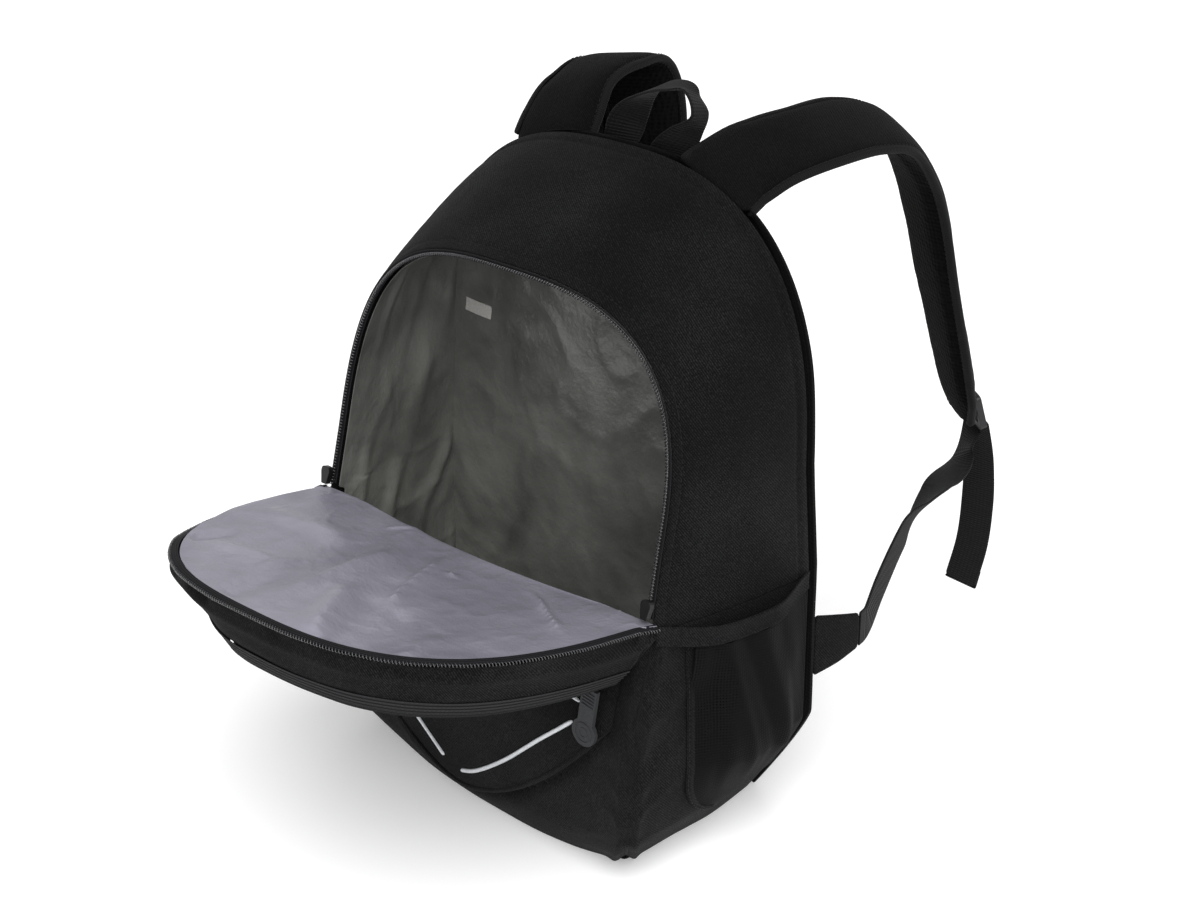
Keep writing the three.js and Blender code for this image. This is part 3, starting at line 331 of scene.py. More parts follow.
def band_frames(rows, steps, ends=3):
    """Middle, width, thickness direction, run and width of a flat band along its rows."""
    middles = [np.array(row["at"], float) for row in rows]
    wides = [np.array(row["wide"], float) / np.linalg.norm(row["wide"]) for row in rows]
    frames = []
    for i in range(steps + 1):
        t = i / steps
        run = spline(middles, min(t + 1e-3, 1)) - spline(middles, max(t - 1e-3, 0))
        run /= np.linalg.norm(run)
        near = rows[0] if t < 0.5 else rows[-1]
        if near.get("run") is not None:
            k = max(0.0, 1 - min(i, steps - i) / ends * (22 / steps))
            run = mix(run, np.array(near["run"], float), k)
            run /= np.linalg.norm(run)
        wide = spline(wides, t)
        wide = wide - run * wide.dot(run)
        wide /= np.linalg.norm(wide)
        deep = np.cross(wide, run)
        place = t * (len(rows) - 1)
        k = min(int(place), len(rows) - 2)
        width = mix(rows[k]["width"], rows[k + 1]["width"], place - k)
        frames.append((spline(middles, t), wide, deep, run, width))
    return frames


def sweep_piece(name, rings, smooth=1):
    """A closed body through rings of points, in millimetres, with capped ends."""
    count = len(rings[0])
    us = list(range(count + 1))
    vs = list(range(len(rings)))
    middle = [np.mean(ring, axis=0) for ring in rings]

    def nearest(place):
        flat = np.array(place) / MM
        k = int(np.argmin([np.sum((m - flat) ** 2) for m in middle]))
        return Vector(flat - middle[k])

    piece = sheet_piece(name, us, vs, lambda u, v: rings[v][u % count], 0, nearest, smooth=0, closed=True)
    only(piece)
    bpy.ops.object.mode_set(mode="EDIT")
    bpy.ops.mesh.select_all(action="SELECT")
    bpy.ops.mesh.fill_holes(sides=0)
    bpy.ops.object.mode_set(mode="OBJECT")
    if smooth:
        round_off = piece.modifiers.new("smooth", "SUBSURF")
        round_off.levels = round_off.render_levels = smooth
        apply_all(piece)
    only(piece)
    bpy.ops.object.shade_smooth()
    return piece


def flat_section(width, thick, rounding=0.8):
    """Corner points of a webbing's section, with doubled corners that keep it flat when smoothed."""
    half, t = width / 2, thick / 2
    r = min(rounding, t * 0.9)
    xs = [-half, -half + r, -half + 3 * r, -half * 0.33, half * 0.33, half - 3 * r, half - r, half]
    top = [(x, t) for x in xs[1:-1]]
    bottom = [(x, -t) for x in reversed(xs[1:-1])]
    return [(-half, t * 0.3)] + top + [(half, t * 0.3), (half, -t * 0.3)] + bottom + [(-half, -t * 0.3)]


def pillow_section(width, thick, points=20):
    """Section of a padded strap: a flattened oval with thin edges."""
    section = []
    for k in range(points):
        angle = 2 * math.pi * k / points
        c, s = math.cos(angle), math.sin(angle)
        x = math.copysign(abs(c) ** 0.75, c) * width / 2
        y = math.copysign(abs(s) ** 0.8, s) * thick / 2
        section.append((x, y))
    return section


def sweep_band(name, frames, section, smooth=1):
    rings = []
    for k, (at, wide, deep, run, width) in enumerate(frames):
        rings.append([at + wide * a + deep * b for a, b in section(k / (len(frames) - 1), width)])
    return sweep_piece(name, rings, smooth)


def coil_piece(name, frames, radius, wire, pitch, squash=0.8):
    """A zip's nylon coil: one wire wound round a path of (place, side, up) frames."""
    places = np.array([np.array(f[0]) for f in frames])
    steps = np.linalg.norm(np.diff(places, axis=0), axis=1)
    lengths = np.concatenate([[0], np.cumsum(steps)])
    turns = int(lengths[-1] / pitch)
    per_turn = 8
    total = turns * per_turn
    curve = bpy.data.curves.new(name, "CURVE")
    curve.dimensions = "3D"
    curve.bevel_depth = wire * MM
    curve.bevel_resolution = 0
    line = curve.splines.new("POLY")
    line.points.add(total)
    sides = np.array([np.array(f[1]) for f in frames])
    ups = np.array([np.array(f[2]) for f in frames])
    for n in range(total + 1):
        s = lengths[-1] * n / total
        angle = 2 * math.pi * n / per_turn
        at = [np.interp(s, lengths, places[:, k]) for k in range(3)]
        side = [np.interp(s, lengths, sides[:, k]) for k in range(3)]
        up = [np.interp(s, lengths, ups[:, k]) for k in range(3)]
        point = np.array(at) + np.array(side) * math.cos(angle) * radius
        point += np.array(up) * math.sin(angle) * radius * squash
        line.points[n].co = (*(point * MM), 1)
    piece = bpy.data.objects.new(name, curve)
    bpy.context.scene.collection.objects.link(piece)
    only(piece)
    bpy.ops.object.convert(target="MESH")
    bpy.ops.object.shade_smooth()
    return bpy.context.object


def tube_piece(name, points, radius, sides=10):
    """A round cord of piping along points, with rounded ends."""
    path = [np.array(p, float) for p in points]
    rings = []
    last = len(path) - 1
    for k, at in enumerate(path):
        run = path[min(k + 1, last)] - path[max(k - 1, 0)]
        run /= np.linalg.norm(run)
        out = np.array((0.0, -1.0, 0.0))
        side = np.cross(run, out)
        side /= np.linalg.norm(side)
        out = np.cross(side, run)
        size = radius * (0.55 if k in (0, last) else 1)
        rings.append([at + (side * math.cos(a) + out * math.sin(a)) * size
                      for a in (2 * math.pi * n / sides for n in range(sides))])
    return sweep_piece(name, rings, 1)


def stitch_row(name, path, ups, length=2.6, gap=1.1, width=0.32):
    """A line of machine stitches along a path of points; ups are the cloth's outward directions."""
    path = np.array([np.array(p, float) for p in path])
    ups = np.array([np.array(u, float) for u in ups])
    lengths = np.concatenate([[0], np.cumsum(np.linalg.norm(np.diff(path, axis=0), axis=1))])
    vertices, faces = [], []
    s = gap
    while s + length < lengths[-1]:
        a, b = ([np.interp(q, lengths, path[:, k]) for k in range(3)] for q in (s, s + length))
        a, b = np.array(a), np.array(b)
        up = np.array([np.interp(s + length / 2, lengths, ups[:, k]) for k in range(3)])
        run = (b - a) / np.linalg.norm(b - a)
        up -= run * up.dot(run)
        up /= np.linalg.norm(up)
        side = np.cross(run, up)
        base = len(vertices)
        for share, size in ((0.0, 0.25), (0.18, 1.0), (0.82, 1.0), (1.0, 0.25)):
            middle = a + (b - a) * share
            for c, d in ((-1, -0.3), (-0.6, 0.75), (0.6, 0.75), (1, -0.3)):
                vertices.append(middle + side * c * width * size + up * d * width * size)
        for k in range(3):
            for n in range(4):
                m = (n + 1) % 4
                p = base + 4 * k
                faces.append((p + n, p + m, p + 4 + m, p + 4 + n))
        faces.append((base + 3, base + 2, base + 1, base))
        faces.append((base + 12, base + 13, base + 14, base + 15))
        s += length + gap
    mesh = bpy.data.meshes.new(name)
    mesh.from_pydata([tuple(v * MM) for v in vertices], [], faces)
    mesh.update()
    piece = bpy.data.objects.new(name, mesh)
    bpy.context.scene.collection.objects.link(piece)
    only(piece)
    bpy.ops.object.mode_set(mode="EDIT")
    bpy.ops.mesh.select_all(action="SELECT")
    bpy.ops.mesh.normals_make_consistent(inside=False)
    bpy.ops.object.mode_set(mode="OBJECT")
    bpy.ops.object.shade_smooth()
    return piece


def join(name, pieces):
    bpy.ops.object.select_all(action="DESELECT")
    for piece in pieces:
        piece.select_set(True)
    bpy.context.view_layer.objects.active = pieces[0]
    if len(pieces) > 1:
        bpy.ops.object.join()
    pieces[0].name = pieces[0].data.name = name
    return pieces[0]


def node_copy(node, name):
    """A copy of a CAD node's mesh, welded and in quads."""
    piece = bpy.data.objects.new(name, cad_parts[node].data.copy())
    bpy.context.scene.collection.objects.link(piece)
    piece.data.materials.clear()
    only(piece)
    bpy.ops.object.mode_set(mode="EDIT")
    bpy.ops.mesh.select_all(action="SELECT")
    bpy.ops.mesh.remove_doubles(threshold=1e-5)
    bpy.ops.mesh.tris_convert_to_quads()
    bpy.ops.object.mode_set(mode="OBJECT")
    return piece


def puff(piece, voxel, pressure, cap, frames=20):
    """Blows a padded piece up a little as cloth, moving no point further than cap millimetres."""
    remesh = piece.modifiers.new("voxels", "REMESH")
    remesh.mode = "VOXEL"
    remesh.voxel_size = voxel * MM
    apply_all(piece)
    rest = np.array([v.co for v in piece.data.vertices])
    cloth = piece.modifiers.new("cloth", "CLOTH")
    cloth.settings.quality = 5
    cloth.settings.mass = 0.2
    cloth.settings.tension_stiffness = 12
    cloth.settings.bending_stiffness = 0.6
    cloth.settings.use_pressure = True
    cloth.settings.uniform_pressure_force = pressure
    cloth.settings.effector_weights.gravity = 0
    scene = bpy.context.scene
    for step in range(1, frames + 1):
        scene.frame_set(step)
    apply_all(piece)
    scene.frame_set(1)
    moved = np.array([v.co for v in piece.data.vertices]) - rest
    far = np.linalg.norm(moved, axis=1, keepdims=True)
    moved *= np.minimum(1.0, cap * MM / np.maximum(far, 1e-9))
    piece.data.vertices.foreach_set("co", (rest + moved).ravel())
    piece.data.update()
    round_off = piece.modifiers.new("smooth", "SUBSURF")
    round_off.levels = round_off.render_levels = 1
    apply_all(piece)
    bpy.ops.object.shade_smooth()
    return piece


# Materials
def colour(code):
    """An sRGB hex colour as linear red, green, blue and alpha."""
    parts = [int(code[k:k + 2], 16) / 255 for k in (1, 3, 5)]
    return (*(p / 12.92 if p <= 0.04045 else ((p + 0.055) / 1.055) ** 2.4 for p in parts), 1.0)


def add(tree, kind, inputs=(), **settings):
    """Adds a node; inputs holds a value or a socket to link for each of its inputs."""
    made = tree.nodes.new(kind)
    for key, value in settings.items():
        setattr(made, key, value)
    for key, value in dict(inputs).items():
        if isinstance(value, bpy.types.NodeSocket):
            tree.links.new(value, made.inputs[key])
        else:
            made.inputs[key].default_value = value
    return made


def new_material(name, fixed):
    """An empty material whose shader has its fixed numbers set."""
    material = bpy.data.materials.new(name)
    material.use_nodes = True
    tree = material.node_tree
    shader = tree.nodes["Principled BSDF"]
    for key, value in fixed.items():
        shader.inputs[key].default_value = value
    return material, tree, shader


def ramp(tree, value, stops):
    """A colour ramp of (position, hex colour) stops."""
    made = add(tree, "ShaderNodeValToRGB", {"Fac": value})
    elements = made.color_ramp.elements
    while len(elements) < len(stops):
        elements.new(0.5)
    for element, (position, code) in zip(elements, stops):
        element.position = position
        element.color = colour(code)
    return made.outputs["Color"]


def polyester_oxford(name, low, middle, high, gloss):
    """Black polyester oxford cloth: plain weave, matt, with lint-fine lighter threads."""
    material, tree, shader = new_material(name, {
        "Roughness": 0.85, "Sheen Weight": 0.02, "Sheen Roughness": 0.5, "Specular IOR Level": gloss})
    place = add(tree, "ShaderNodeTexCoord").outputs["Object"]
    # Threads are 0.45 mm apart on the real cloth and drawn about 2 mm apart so that they show
    grain = add(tree, "ShaderNodeTexNoise", {"Vector": place, "Scale": 900, "Detail": 3, "Roughness": 0.7})
    warp = add(tree, "ShaderNodeTexWave", {"Vector": place, "Scale": 290, "Distortion": 1.2, "Detail": 1,
               "Detail Scale": 3}, wave_type="BANDS", bands_direction="DIAGONAL")
    soft = add(tree, "ShaderNodeTexNoise", {"Vector": place, "Scale": 11, "Detail": 3})
    speck = add(tree, "ShaderNodeMixRGB", {"Fac": 0.2, "Color1": grain.outputs["Fac"],
                "Color2": warp.outputs["Fac"]})
    blend = add(tree, "ShaderNodeMixRGB", {"Fac": 0.3, "Color1": speck.outputs["Color"],
                "Color2": soft.outputs["Fac"]})
    tint = ramp(tree, blend.outputs["Color"], [(0.36, low), (0.5, middle), (0.66, high)])
    tree.links.new(tint, shader.inputs["Base Color"])
    relief = add(tree, "ShaderNodeBump", {
        "Height": speck.outputs["Color"], "Strength": 0.7, "Distance": 0.0012})
    tree.links.new(relief.outputs["Normal"], shader.inputs["Normal"])
    return material


def lining_film(name, low, high, rough):
    """Silver-grey lining film, welded and calendered: satin, with fine crinkles from handling."""
    material, tree, shader = new_material(name, {
        "Roughness": rough, "Metallic": 0.2, "Specular IOR Level": 0.5, "Coat Weight": 0.1,
        "Coat Roughness": 0.25})
    place = add(tree, "ShaderNodeTexCoord").outputs["Object"]
    broad = add(tree, "ShaderNodeTexNoise", {"Vector": place, "Scale": 16, "Detail": 4, "Distortion": 0.6})
    crinkle = add(tree, "ShaderNodeTexVoronoi", {"Vector": place, "Scale": 60, "Randomness": 1.0},
                  feature="F1")
    fine = add(tree, "ShaderNodeTexNoise", {"Vector": place, "Scale": 260, "Detail": 3, "Roughness": 0.6})
    tint = ramp(tree, broad.outputs["Fac"], [(0.3, low), (0.7, high)])
    tree.links.new(tint, shader.inputs["Base Color"])
    relief = add(tree, "ShaderNodeBump", {
        "Height": crinkle.outputs["Distance"], "Strength": 0.35, "Distance": 0.002})
    leather = add(tree, "ShaderNodeBump", {
        "Height": fine.outputs["Fac"], "Strength": 0.4, "Distance": 0.0012,
        "Normal": relief.outputs["Normal"]})
    tree.links.new(leather.outputs["Normal"], shader.inputs["Normal"])
    return material


def ribbed_cloth(name, low, high, pitch, rough, strength=0.5):
    """Woven tape: fine cords side by side along its length, pitch millimetres apart, from its own UV map."""
    material, tree, shader = new_material(name, {
        "Roughness": rough, "Sheen Weight": 0.02, "Sheen Roughness": 0.5, "Specular IOR Level": 0.15})
    place = add(tree, "ShaderNodeTexCoord").outputs["UV"]
    split = add(tree, "ShaderNodeSeparateXYZ", {"Vector": place})
    turn = 2 * math.pi / (pitch * MM)
    rib = add(tree, "ShaderNodeMath", {0: split.outputs["Y"], 1: turn}, operation="MULTIPLY")
    rib = add(tree, "ShaderNodeMath", {0: rib.outputs[0]}, operation="SINE")
    pick = add(tree, "ShaderNodeMath", {0: split.outputs["X"], 1: turn / 1.6}, operation="MULTIPLY")
    pick = add(tree, "ShaderNodeMath", {0: pick.outputs[0]}, operation="SINE")
    cross = add(tree, "ShaderNodeMath", {0: rib.outputs[0], 1: pick.outputs[0]}, operation="MULTIPLY")
    height = add(tree, "ShaderNodeMath", {0: cross.outputs[0], 1: 0.55, 2: rib.outputs[0]},
                 operation="MULTIPLY_ADD")
    level = add(tree, "ShaderNodeMapRange", {"Value": height.outputs[0], "From Min": -1.5, "From Max": 1.5})
    tint = ramp(tree, level.outputs["Result"], [(0.15, low), (0.85, high)])
    tree.links.new(tint, shader.inputs["Base Color"])
    relief = add(tree, "ShaderNodeBump", {
        "Height": level.outputs["Result"], "Strength": strength, "Distance": 0.0006})
    tree.links.new(relief.outputs["Normal"], shader.inputs["Normal"])
    return material


def knitted_net(name, hole, open_share):
    """Black polyester net, warp-knitted: rows of small round holes between soft threads."""
    material, tree, shader = new_material(name, {
        "Roughness": 0.8, "Sheen Weight": 0.02, "Sheen Roughness": 0.5, "Specular IOR Level": 0.1})
    place = add(tree, "ShaderNodeTexCoord").outputs["UV"]
    cells = add(tree, "ShaderNodeTexVoronoi", {"Vector": place, "Scale": 1000 / hole, "Randomness": 0.12},
                voronoi_dimensions="2D")
    tint = ramp(tree, cells.outputs["Distance"], [(0.25, "#020202"), (0.6, "#0c0c0c")])
    tree.links.new(tint, shader.inputs["Base Color"])
    relief = add(tree, "ShaderNodeBump", {
        "Height": cells.outputs["Distance"], "Strength": 0.6, "Distance": 0.0007})
    tree.links.new(relief.outputs["Normal"], shader.inputs["Normal"])
    if open_share:
        thread = add(tree, "ShaderNodeMath", {0: cells.outputs["Distance"], 1: open_share},
                     operation="GREATER_THAN")
        tree.links.new(thread.outputs[0], shader.inputs["Alpha"])
    return material


def spacer_mesh_by_place(name):
    """Spacer mesh on the wearer's side of the straps: small deep cells, laid by place, without a UV map."""
    material, tree, shader = new_material(name, {"Roughness": 0.85, "Specular IOR Level": 0.06})
    place = add(tree, "ShaderNodeTexCoord").outputs["Object"]
    cells = add(tree, "ShaderNodeTexVoronoi", {"Vector": place, "Scale": 330, "Randomness": 0.3})
    tint = ramp(tree, cells.outputs["Distance"], [(0.15, "#020202"), (0.6, "#090909")])
    tree.links.new(tint, shader.inputs["Base Color"])
    relief = add(tree, "ShaderNodeBump", {
        "Height": cells.outputs["Distance"], "Strength": 0.8, "Distance": 0.0015})
    tree.links.new(relief.outputs["Normal"], shader.inputs["Normal"])
    return material


def plain_finish(name, low, high, grain, strength, fixed):
    """A moulded, plated or dyed surface: even colour with faint mottling and a fine texture."""
    material, tree, shader = new_material(name, fixed)
    place = add(tree, "ShaderNodeTexCoord").outputs["Object"]
    fine = add(tree, "ShaderNodeTexNoise", {"Vector": place, "Scale": grain, "Detail": 3, "Roughness": 0.6})
    tint = ramp(tree, fine.outputs["Fac"], [(0.3, low), (0.7, high)])
    tree.links.new(tint, shader.inputs["Base Color"])
    relief = add(tree, "ShaderNodeBump", {
        "Height": fine.outputs["Fac"], "Strength": strength, "Distance": 0.0004})
    tree.links.new(relief.outputs["Normal"], shader.inputs["Normal"])
    return material


OXFORD = polyester_oxford("polyester_oxford", "#030303", "#0a0a0a", "#252526", 0.08)
# The straps' cloth is smoother and deeper in colour
STRAP_CLOTH = polyester_oxford("polyester_strap_cloth", "#030303", "#080808", "#141414", 0.06)
LID_FILM = lining_film("lining_film_lid", "#7c7a86", "#93919d", 0.42)
# The film inside the bag is a darker, olive-grey copy of the lid's film: painted shade for the inside of the
# bag
SHADED_INNER_FILM = lining_film("lining_film", "#585955", "#7e7f7a", 0.3)
ZIP_TAPE = ribbed_cloth("woven_zip_tape", "#060607", "#1b1b1e", 1.5, 0.75)
POCKET_TAPE = ribbed_cloth("woven_pocket_tape", "#080808", "#2c2c2e", 1.6, 0.75, 0.9)
# Nylon coil, drawn and set in a spiral: smooth, so that it catches the light. Its grey, lighter than the
# black tape, is a painted highlight for the coil's glints
COIL = plain_finish("nylon_coil", "#151517", "#303034", 900, 0.05, {
    "Roughness": 0.2, "Specular IOR Level": 0.9})
WEBBING = ribbed_cloth("woven_webbing", "#030303", "#0f0f10", 1.8, 0.7, 0.9)
# Holes are about 1 mm apart on the real net and drawn 2 mm apart so that they show
NET = knitted_net("knitted_net", 2.0, 0.3)
SPACER = knitted_net("spacer_mesh", 2.6, 0)
SPACER_PAD = spacer_mesh_by_place("spacer_mesh_strap")
# Sewing thread, spun polyester: a dull sheen on small raised stitches
THREAD = plain_finish("polyester_thread", "#080808", "#161617", 1200, 0.1, {
    "Roughness": 0.6, "Specular IOR Level": 0.2})
# Acetal, moulded in a finely eroded tool: half matt
ACETAL = plain_finish("moulded_acetal", "#101012", "#1b1b1e", 500, 0.06, {
    "Roughness": 0.42, "Specular IOR Level": 0.35})
# Soft rubber, moulded: matt and a little lighter than the cloth
RUBBER = plain_finish("moulded_rubber", "#1e1f21", "#2b2c2e", 700, 0.12, {
    "Roughness": 0.6, "Specular IOR Level": 0.3})
# Zinc slider with gunmetal plating: dark, warm and bright
GUNMETAL = plain_finish("gunmetal_plating", "#3a3432", "#4f4744", 300, 0.04, {
    "Roughness": 0.3, "Metallic": 1.0})
# Zinc slider, painted black: only a little metallic
DARK_METAL = plain_finish("blackened_metal", "#0b0b0b", "#181717", 300, 0.04, {
    "Roughness": 0.4, "Metallic": 0.3})
# Reflective cloth of fine glass beads, rolled round a cord: light silver-grey
REFLECTIVE = plain_finish("reflective_piping", "#b9bcc0", "#d6d8db", 700, 0.12, {
    "Roughness": 0.42, "Metallic": 0.25})
# Woven satin label, blank, coloured grey, darker than a white label: painted shade from inside the bag
LABEL = plain_finish("woven_label", "#a9a6a2", "#c2bfbb", 900, 0.15, {"Roughness": 0.8})
BINDING = ribbed_cloth("grosgrain_binding", "#040404", "#101010", 1.4, 0.8)


def dress(piece, material, slot, *replaced, fill=None):
    """Gives a piece its finish, hangs it from the root and hides the CAD parts it replaces."""
    piece.data.materials.clear()
    piece.data.materials.append(material)
    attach(piece, "root")
    if replaced:
        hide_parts(*replaced)
    return piece


def spaced(*stops):
    """Runs of numbers: (from, to, steps) triples, each start counted once."""
    values = [stops[0][0]]
    for low, high, count in stops:
        values += [mix(low, high, k / count) for k in range(1, count + 1)]
    return values


SIDES = (("right", 1), ("left", -1))


def away_from_middle(place):
    return Vector((place.x, place.y * 0.2 + 0.02, place.z - 0.17))


# The padded strip that arches over the bag: turned edge and topstitch at the zip, ridge at the rear seam
SPLIT_T = 1 - SPLIT_Z / HINGE_Z


def gusset_relief(t, v):
    point = body_side(t, v)
    span = (rear_rim(min(max(t, 0), 1)) - opening_rim(min(max(t, 0), 1))).length
    front = v * span
    rear = (1 - v) * span
    relief = -0.7 * bump(front - 7, 1.3) - 0.5 * max(0.0, 1 - front / 1.5)
    relief += -1.0 * bump(rear - 9, 1.6) + 0.5 * bump(rear - 4, 4)
    middle = math.sin(math.pi * v)
    relief += middle * (1.5 * wander(point, 75, 1.0) + 0.7 * wander(point, 34, 2.0))
    relief += 0.35 * wander(point, 14, 3.0) * middle
    relief += 0.4 * bump(front - 12, 8) * wander(point, 12, 4.0)
    return relief


gusset = sheet_piece(
    "gusset_cloth", spaced((-SPLIT_T, 0, 3), (0, 1, 190), (1, 1 + SPLIT_T, 3)),
    spaced((0, 0.012, 1), (0.012, 0.075, 6), (0.075, 0.9, 24), (0.9, 0.975, 6), (0.975, 1, 2)),
    lambda t, v: off_side(t, v, gusset_relief(t, v)), FOAM, away_from_middle, rim=1.6)
dress(gusset, OXFORD, "fabric", "gusset_top", fill=0.7)

# Padded side walls, with folds by the corner seams
FRONT_FOLDS = ((46, 0.5, 1.7, 3.4, 0, 24), (37, -0.4, -1.5, 3.4, 2, 22), (60, 0.9, 1.2, 4, 6, 20),
               (98, -0.25, 2.0, 9, 16, 20), (118, -0.5, -1.6, 7, 20, 18), (24, -0.3, 1.0, 4, 4, 22))
SIDE_FOLDS = ((49, 0.5, 1.6, 3.4, 0, 24), (39, -0.4, -1.4, 3.2, 1, 20), (108, 0.7, 1.8, 9, 16, 18),
              (84, 0.5, -1.6, 7, 15, 18), (64, 0.8, 1.2, 5, 6, 16))


OVERLAY_HALF = 131.0
OVERLAY_TOP = 150
OVERLAY_FOOT = 20


def smile(share):
    """Height of the overlay's curved lower seam."""
    return OVERLAY_FOOT + 88 * abs(share) ** 1.8


def corner_folds(near, z, folds):
    """Folds that run from the corner seam: height at it, slope, depth, width, middle and reach."""
    return 1.4 * sum(depth * bump(z - z0 - slope * near, width) * bump(near - middle, reach)
                     for z0, slope, depth, width, middle, reach in folds)


for name, sign in SIDES:
    def wall_place(z, v, sign=sign):
        t = side_t(z, sign)
        start = CLEARANCE / side_span(z, sign)
        v = mix(start, 1, v)
        point = body_side(t, v)
        near = v * side_span(z, sign)
        relief = corner_folds(near, z, SIDE_FOLDS)
        relief += bump(near, 12) * 0.3 * math.sin(z / 3.4 + wander(point, 30, 5.0) * 3)
        relief += -4.4 * bump(near, 3.2) + 1.9 * bump(near - 7, 3.2)
        relief += math.sin(math.pi * v) * 1.4 * wander(point, 55, 6.0)
        relief += 0.9 * wander(point, 22, 7.0) * math.sin(math.pi * min(v * 1.5, 1))
        return off_side(t, v, relief - 0.4)

    wall = sheet_piece(
        f"side_cloth_{name}", spaced((0, 34, 16), (34, SPLIT_Z - CLEARANCE, 42)),
        spaced((0, 0.06, 4), (0.06, 0.94, 32), (0.94, 1, 3)), wall_place, FOAM,
        Vector((sign, 0, 0)), rim=1.6)
    dress(wall, OXFORD, "fabric", f"side_wall_{name}", fill=0.6)


# The front wall
def front_top(a):
    rise = OPENING_BOW * (1 - a * a) - FOAM - LINING - 3 * CLEARANCE
    return HINGE_Z + rise * math.tan(TILT) - (PAD_BOTTOM + CLEARANCE) / math.cos(TILT)


def front_place(a, s, depth=0.0, edge=CLEARANCE, foot=0.0, relief=True):
    z = max(foot, s * front_top(a))
    lift = 0.0
    if relief:
        point = front_face(a, z)
        near = (1 - abs(a)) * corner_x(z)
        lift = -4.4 * bump(near, 3.2) + 1.9 * bump(near - 7, 3.2)
        lift += 0.9 * wander(point, 60, 8.0) + 0.6 * wander(point, 20, 9.0) * bump(near, 40)
        lift += corner_folds(near, z, FRONT_FOLDS)
        share = point.x / OVERLAY_HALF
        if abs(share) < 1:
            lift -= 4.2 * bump(smile(share) - 3.0 - z, 3.2) * ease((1 - abs(share)) / 0.15)
            lift += 1.2 * bump(smile(share) - 13 - z, 6) * ease((1 - abs(share)) / 0.15)
        lift += bump(near, 12) * 0.3 * math.sin(z / 3.2 + 4 * wander(point, 26, 10.0))
        lift -= 0.3
    return off_front(a * (1 - edge / corner_x(z)), z, lift - depth)


front = sheet_piece(
    "front_cloth", spaced((-1, -0.93, 5), (-0.93, 0.93, 70), (0.93, 1, 5)),
    spaced((0, 0.2, 14), (0.2, 1, 36)), front_place, FOAM, Vector((0, -1, 0)), rim=1.6)
dress(front, OXFORD, "fabric", "front_wall", fill=0.6)

# Dark cords in the valleys of the corner seams: a dark thing put there as painted shade for the dark line
# along each seam
for name, sign in SIDES:
    shade_cord_path = [front_face(sign, z) + Vector((-sign, 1, 0)) * 2.9 for z in spaced((16, 40, 16), (40, 166, 60))]
    dress(tube_piece(f"corner_shade_cord_{name}", shade_cord_path, 1.0), BINDING, "fabric")


# Padded overlay on the front, with a rounded edge and a curved lower seam
def overlay_place(share, v):
    z = mix(smile(share), OVERLAY_TOP, v ** 1.4)
    near = min(v * (OVERLAY_TOP - smile(share)), (1 - abs(share)) * OVERLAY_HALF * 0.7)
    pillow = 1 - bump(near, 3.2)
    x = share * OVERLAY_HALF
    point = front_face(x / corner_x(z), z)
    lift = 1.2 + 3.6 * pillow + 0.9 * bump(near - 3.5, 2.2)
    lift += (0.8 * wander(point, 48, 11.0) + 0.3 * wander(point, 15, 12.0)) * pillow
    lift -= 0.7 * bump(near - 6.5, 1.3)
    return off_front(x / corner_x(z), z, lift)


overlay = sheet_piece(
    "overlay_cloth", spaced((-1, -0.9, 6), (-0.9, 0.9, 90), (0.9, 1, 6)),
    spaced((0, 0.16, 9), (0.16, 1, 36)), overlay_place, 2.2, Vector((0, -1, 0)), rim=0.9)
dress(overlay, OXFORD, "fabric", "front_overlay", fill=0.5)

PIPING_TABLES = {
    "reflective_piping_right": [(0.03, 0.085), (0.13, 0.125), (0.35, 0.28), (0.61, 0.51), (0.80, 0.67)],
    "reflective_piping_left": [(-0.10, 0.115), (-0.20, 0.19), (-0.35, 0.30), (-0.61, 0.52), (-0.80, 0.67)],
    "reflective_piping_top": [
        (-0.83, 0.77), (-0.62, 0.84), (-0.3, 0.91), (0, 0.93), (0.3, 0.91), (0.62, 0.84), (0.83, 0.77)],
}
for node, table in PIPING_TABLES.items():
    flat = [np.array((across * OVERLAY_HALF, mix(OVERLAY_FOOT, OVERLAY_TOP, up))) for across, up in table]
    line = [spline(flat, k / 48) for k in range(49)]
    places = [off_front(x / corner_x(z), z, 4.9) for x, z in line]
    piping = tube_piece(node.replace("reflective_", ""), places, 1.5)
    dress(piping, REFLECTIVE, "reflective_piping", node)

# Turned edge along the overlay's curved lower seam
edge_path = []
for k in range(121):
    share = mix(-0.93, 0.93, k / 120)
    edge_path.append(off_front(share * OVERLAY_HALF / corner_x(smile(share)), smile(share) + 1.2, 4.4))
dress(tube_piece("overlay_edge", edge_path, 1.7), OXFORD, "fabric")

# The base
base = node_copy("base_panel", "base_cloth")
soft = base.modifiers.new("rim", "BEVEL")
soft.width = 1.2 * MM
soft.segments = 2
apply_all(base)
bpy.ops.object.shade_smooth_by_angle(angle=math.radians(40))
dress(base, OXFORD, "fabric", "base_panel", fill=0.5)


# The padded back: spacer mesh with quilted channels, inside a bound seam
def rear_width(z):
    if z <= HINGE_Z:
        return rear_half(z)
    if z <= HINGE_Z + REAR["straight"]:
        return mix(1, REAR["taper"], (z - HINGE_Z) / REAR["straight"]) * BODY_WIDTH / 2
    share = min((z - HINGE_Z - REAR["straight"]) / (REAR["height"] - REAR["straight"]), 1)
    return BODY_WIDTH / 2 * REAR["taper"] * (1 - share ** REAR["roundness"]) ** (1 / REAR["roundness"])


def back_place(s, z):
    half = rear_width(z)
    x = s * half
    near = min((1 - abs(s)) * half, z + 4, (421.5 - z) * 1.2)
    pad = 1 - bump(near, 9)
    groove = bump(abs(x) - 48, 4) * ease((z - 40) / 20) * ease((370 - z) / 20)
    for level in (120, 205, 290):
        groove = max(groove, bump(z - level - abs(x) * 0.12, 4) * ease((120 - abs(x)) / 15))
    y = BACK_Y + (BACK_CROWN + 2.5) * pad - 4.0 * groove * pad + 0.6 * wander((x, 0, z), 40, 13.0)
    return Vector((x, y, z))


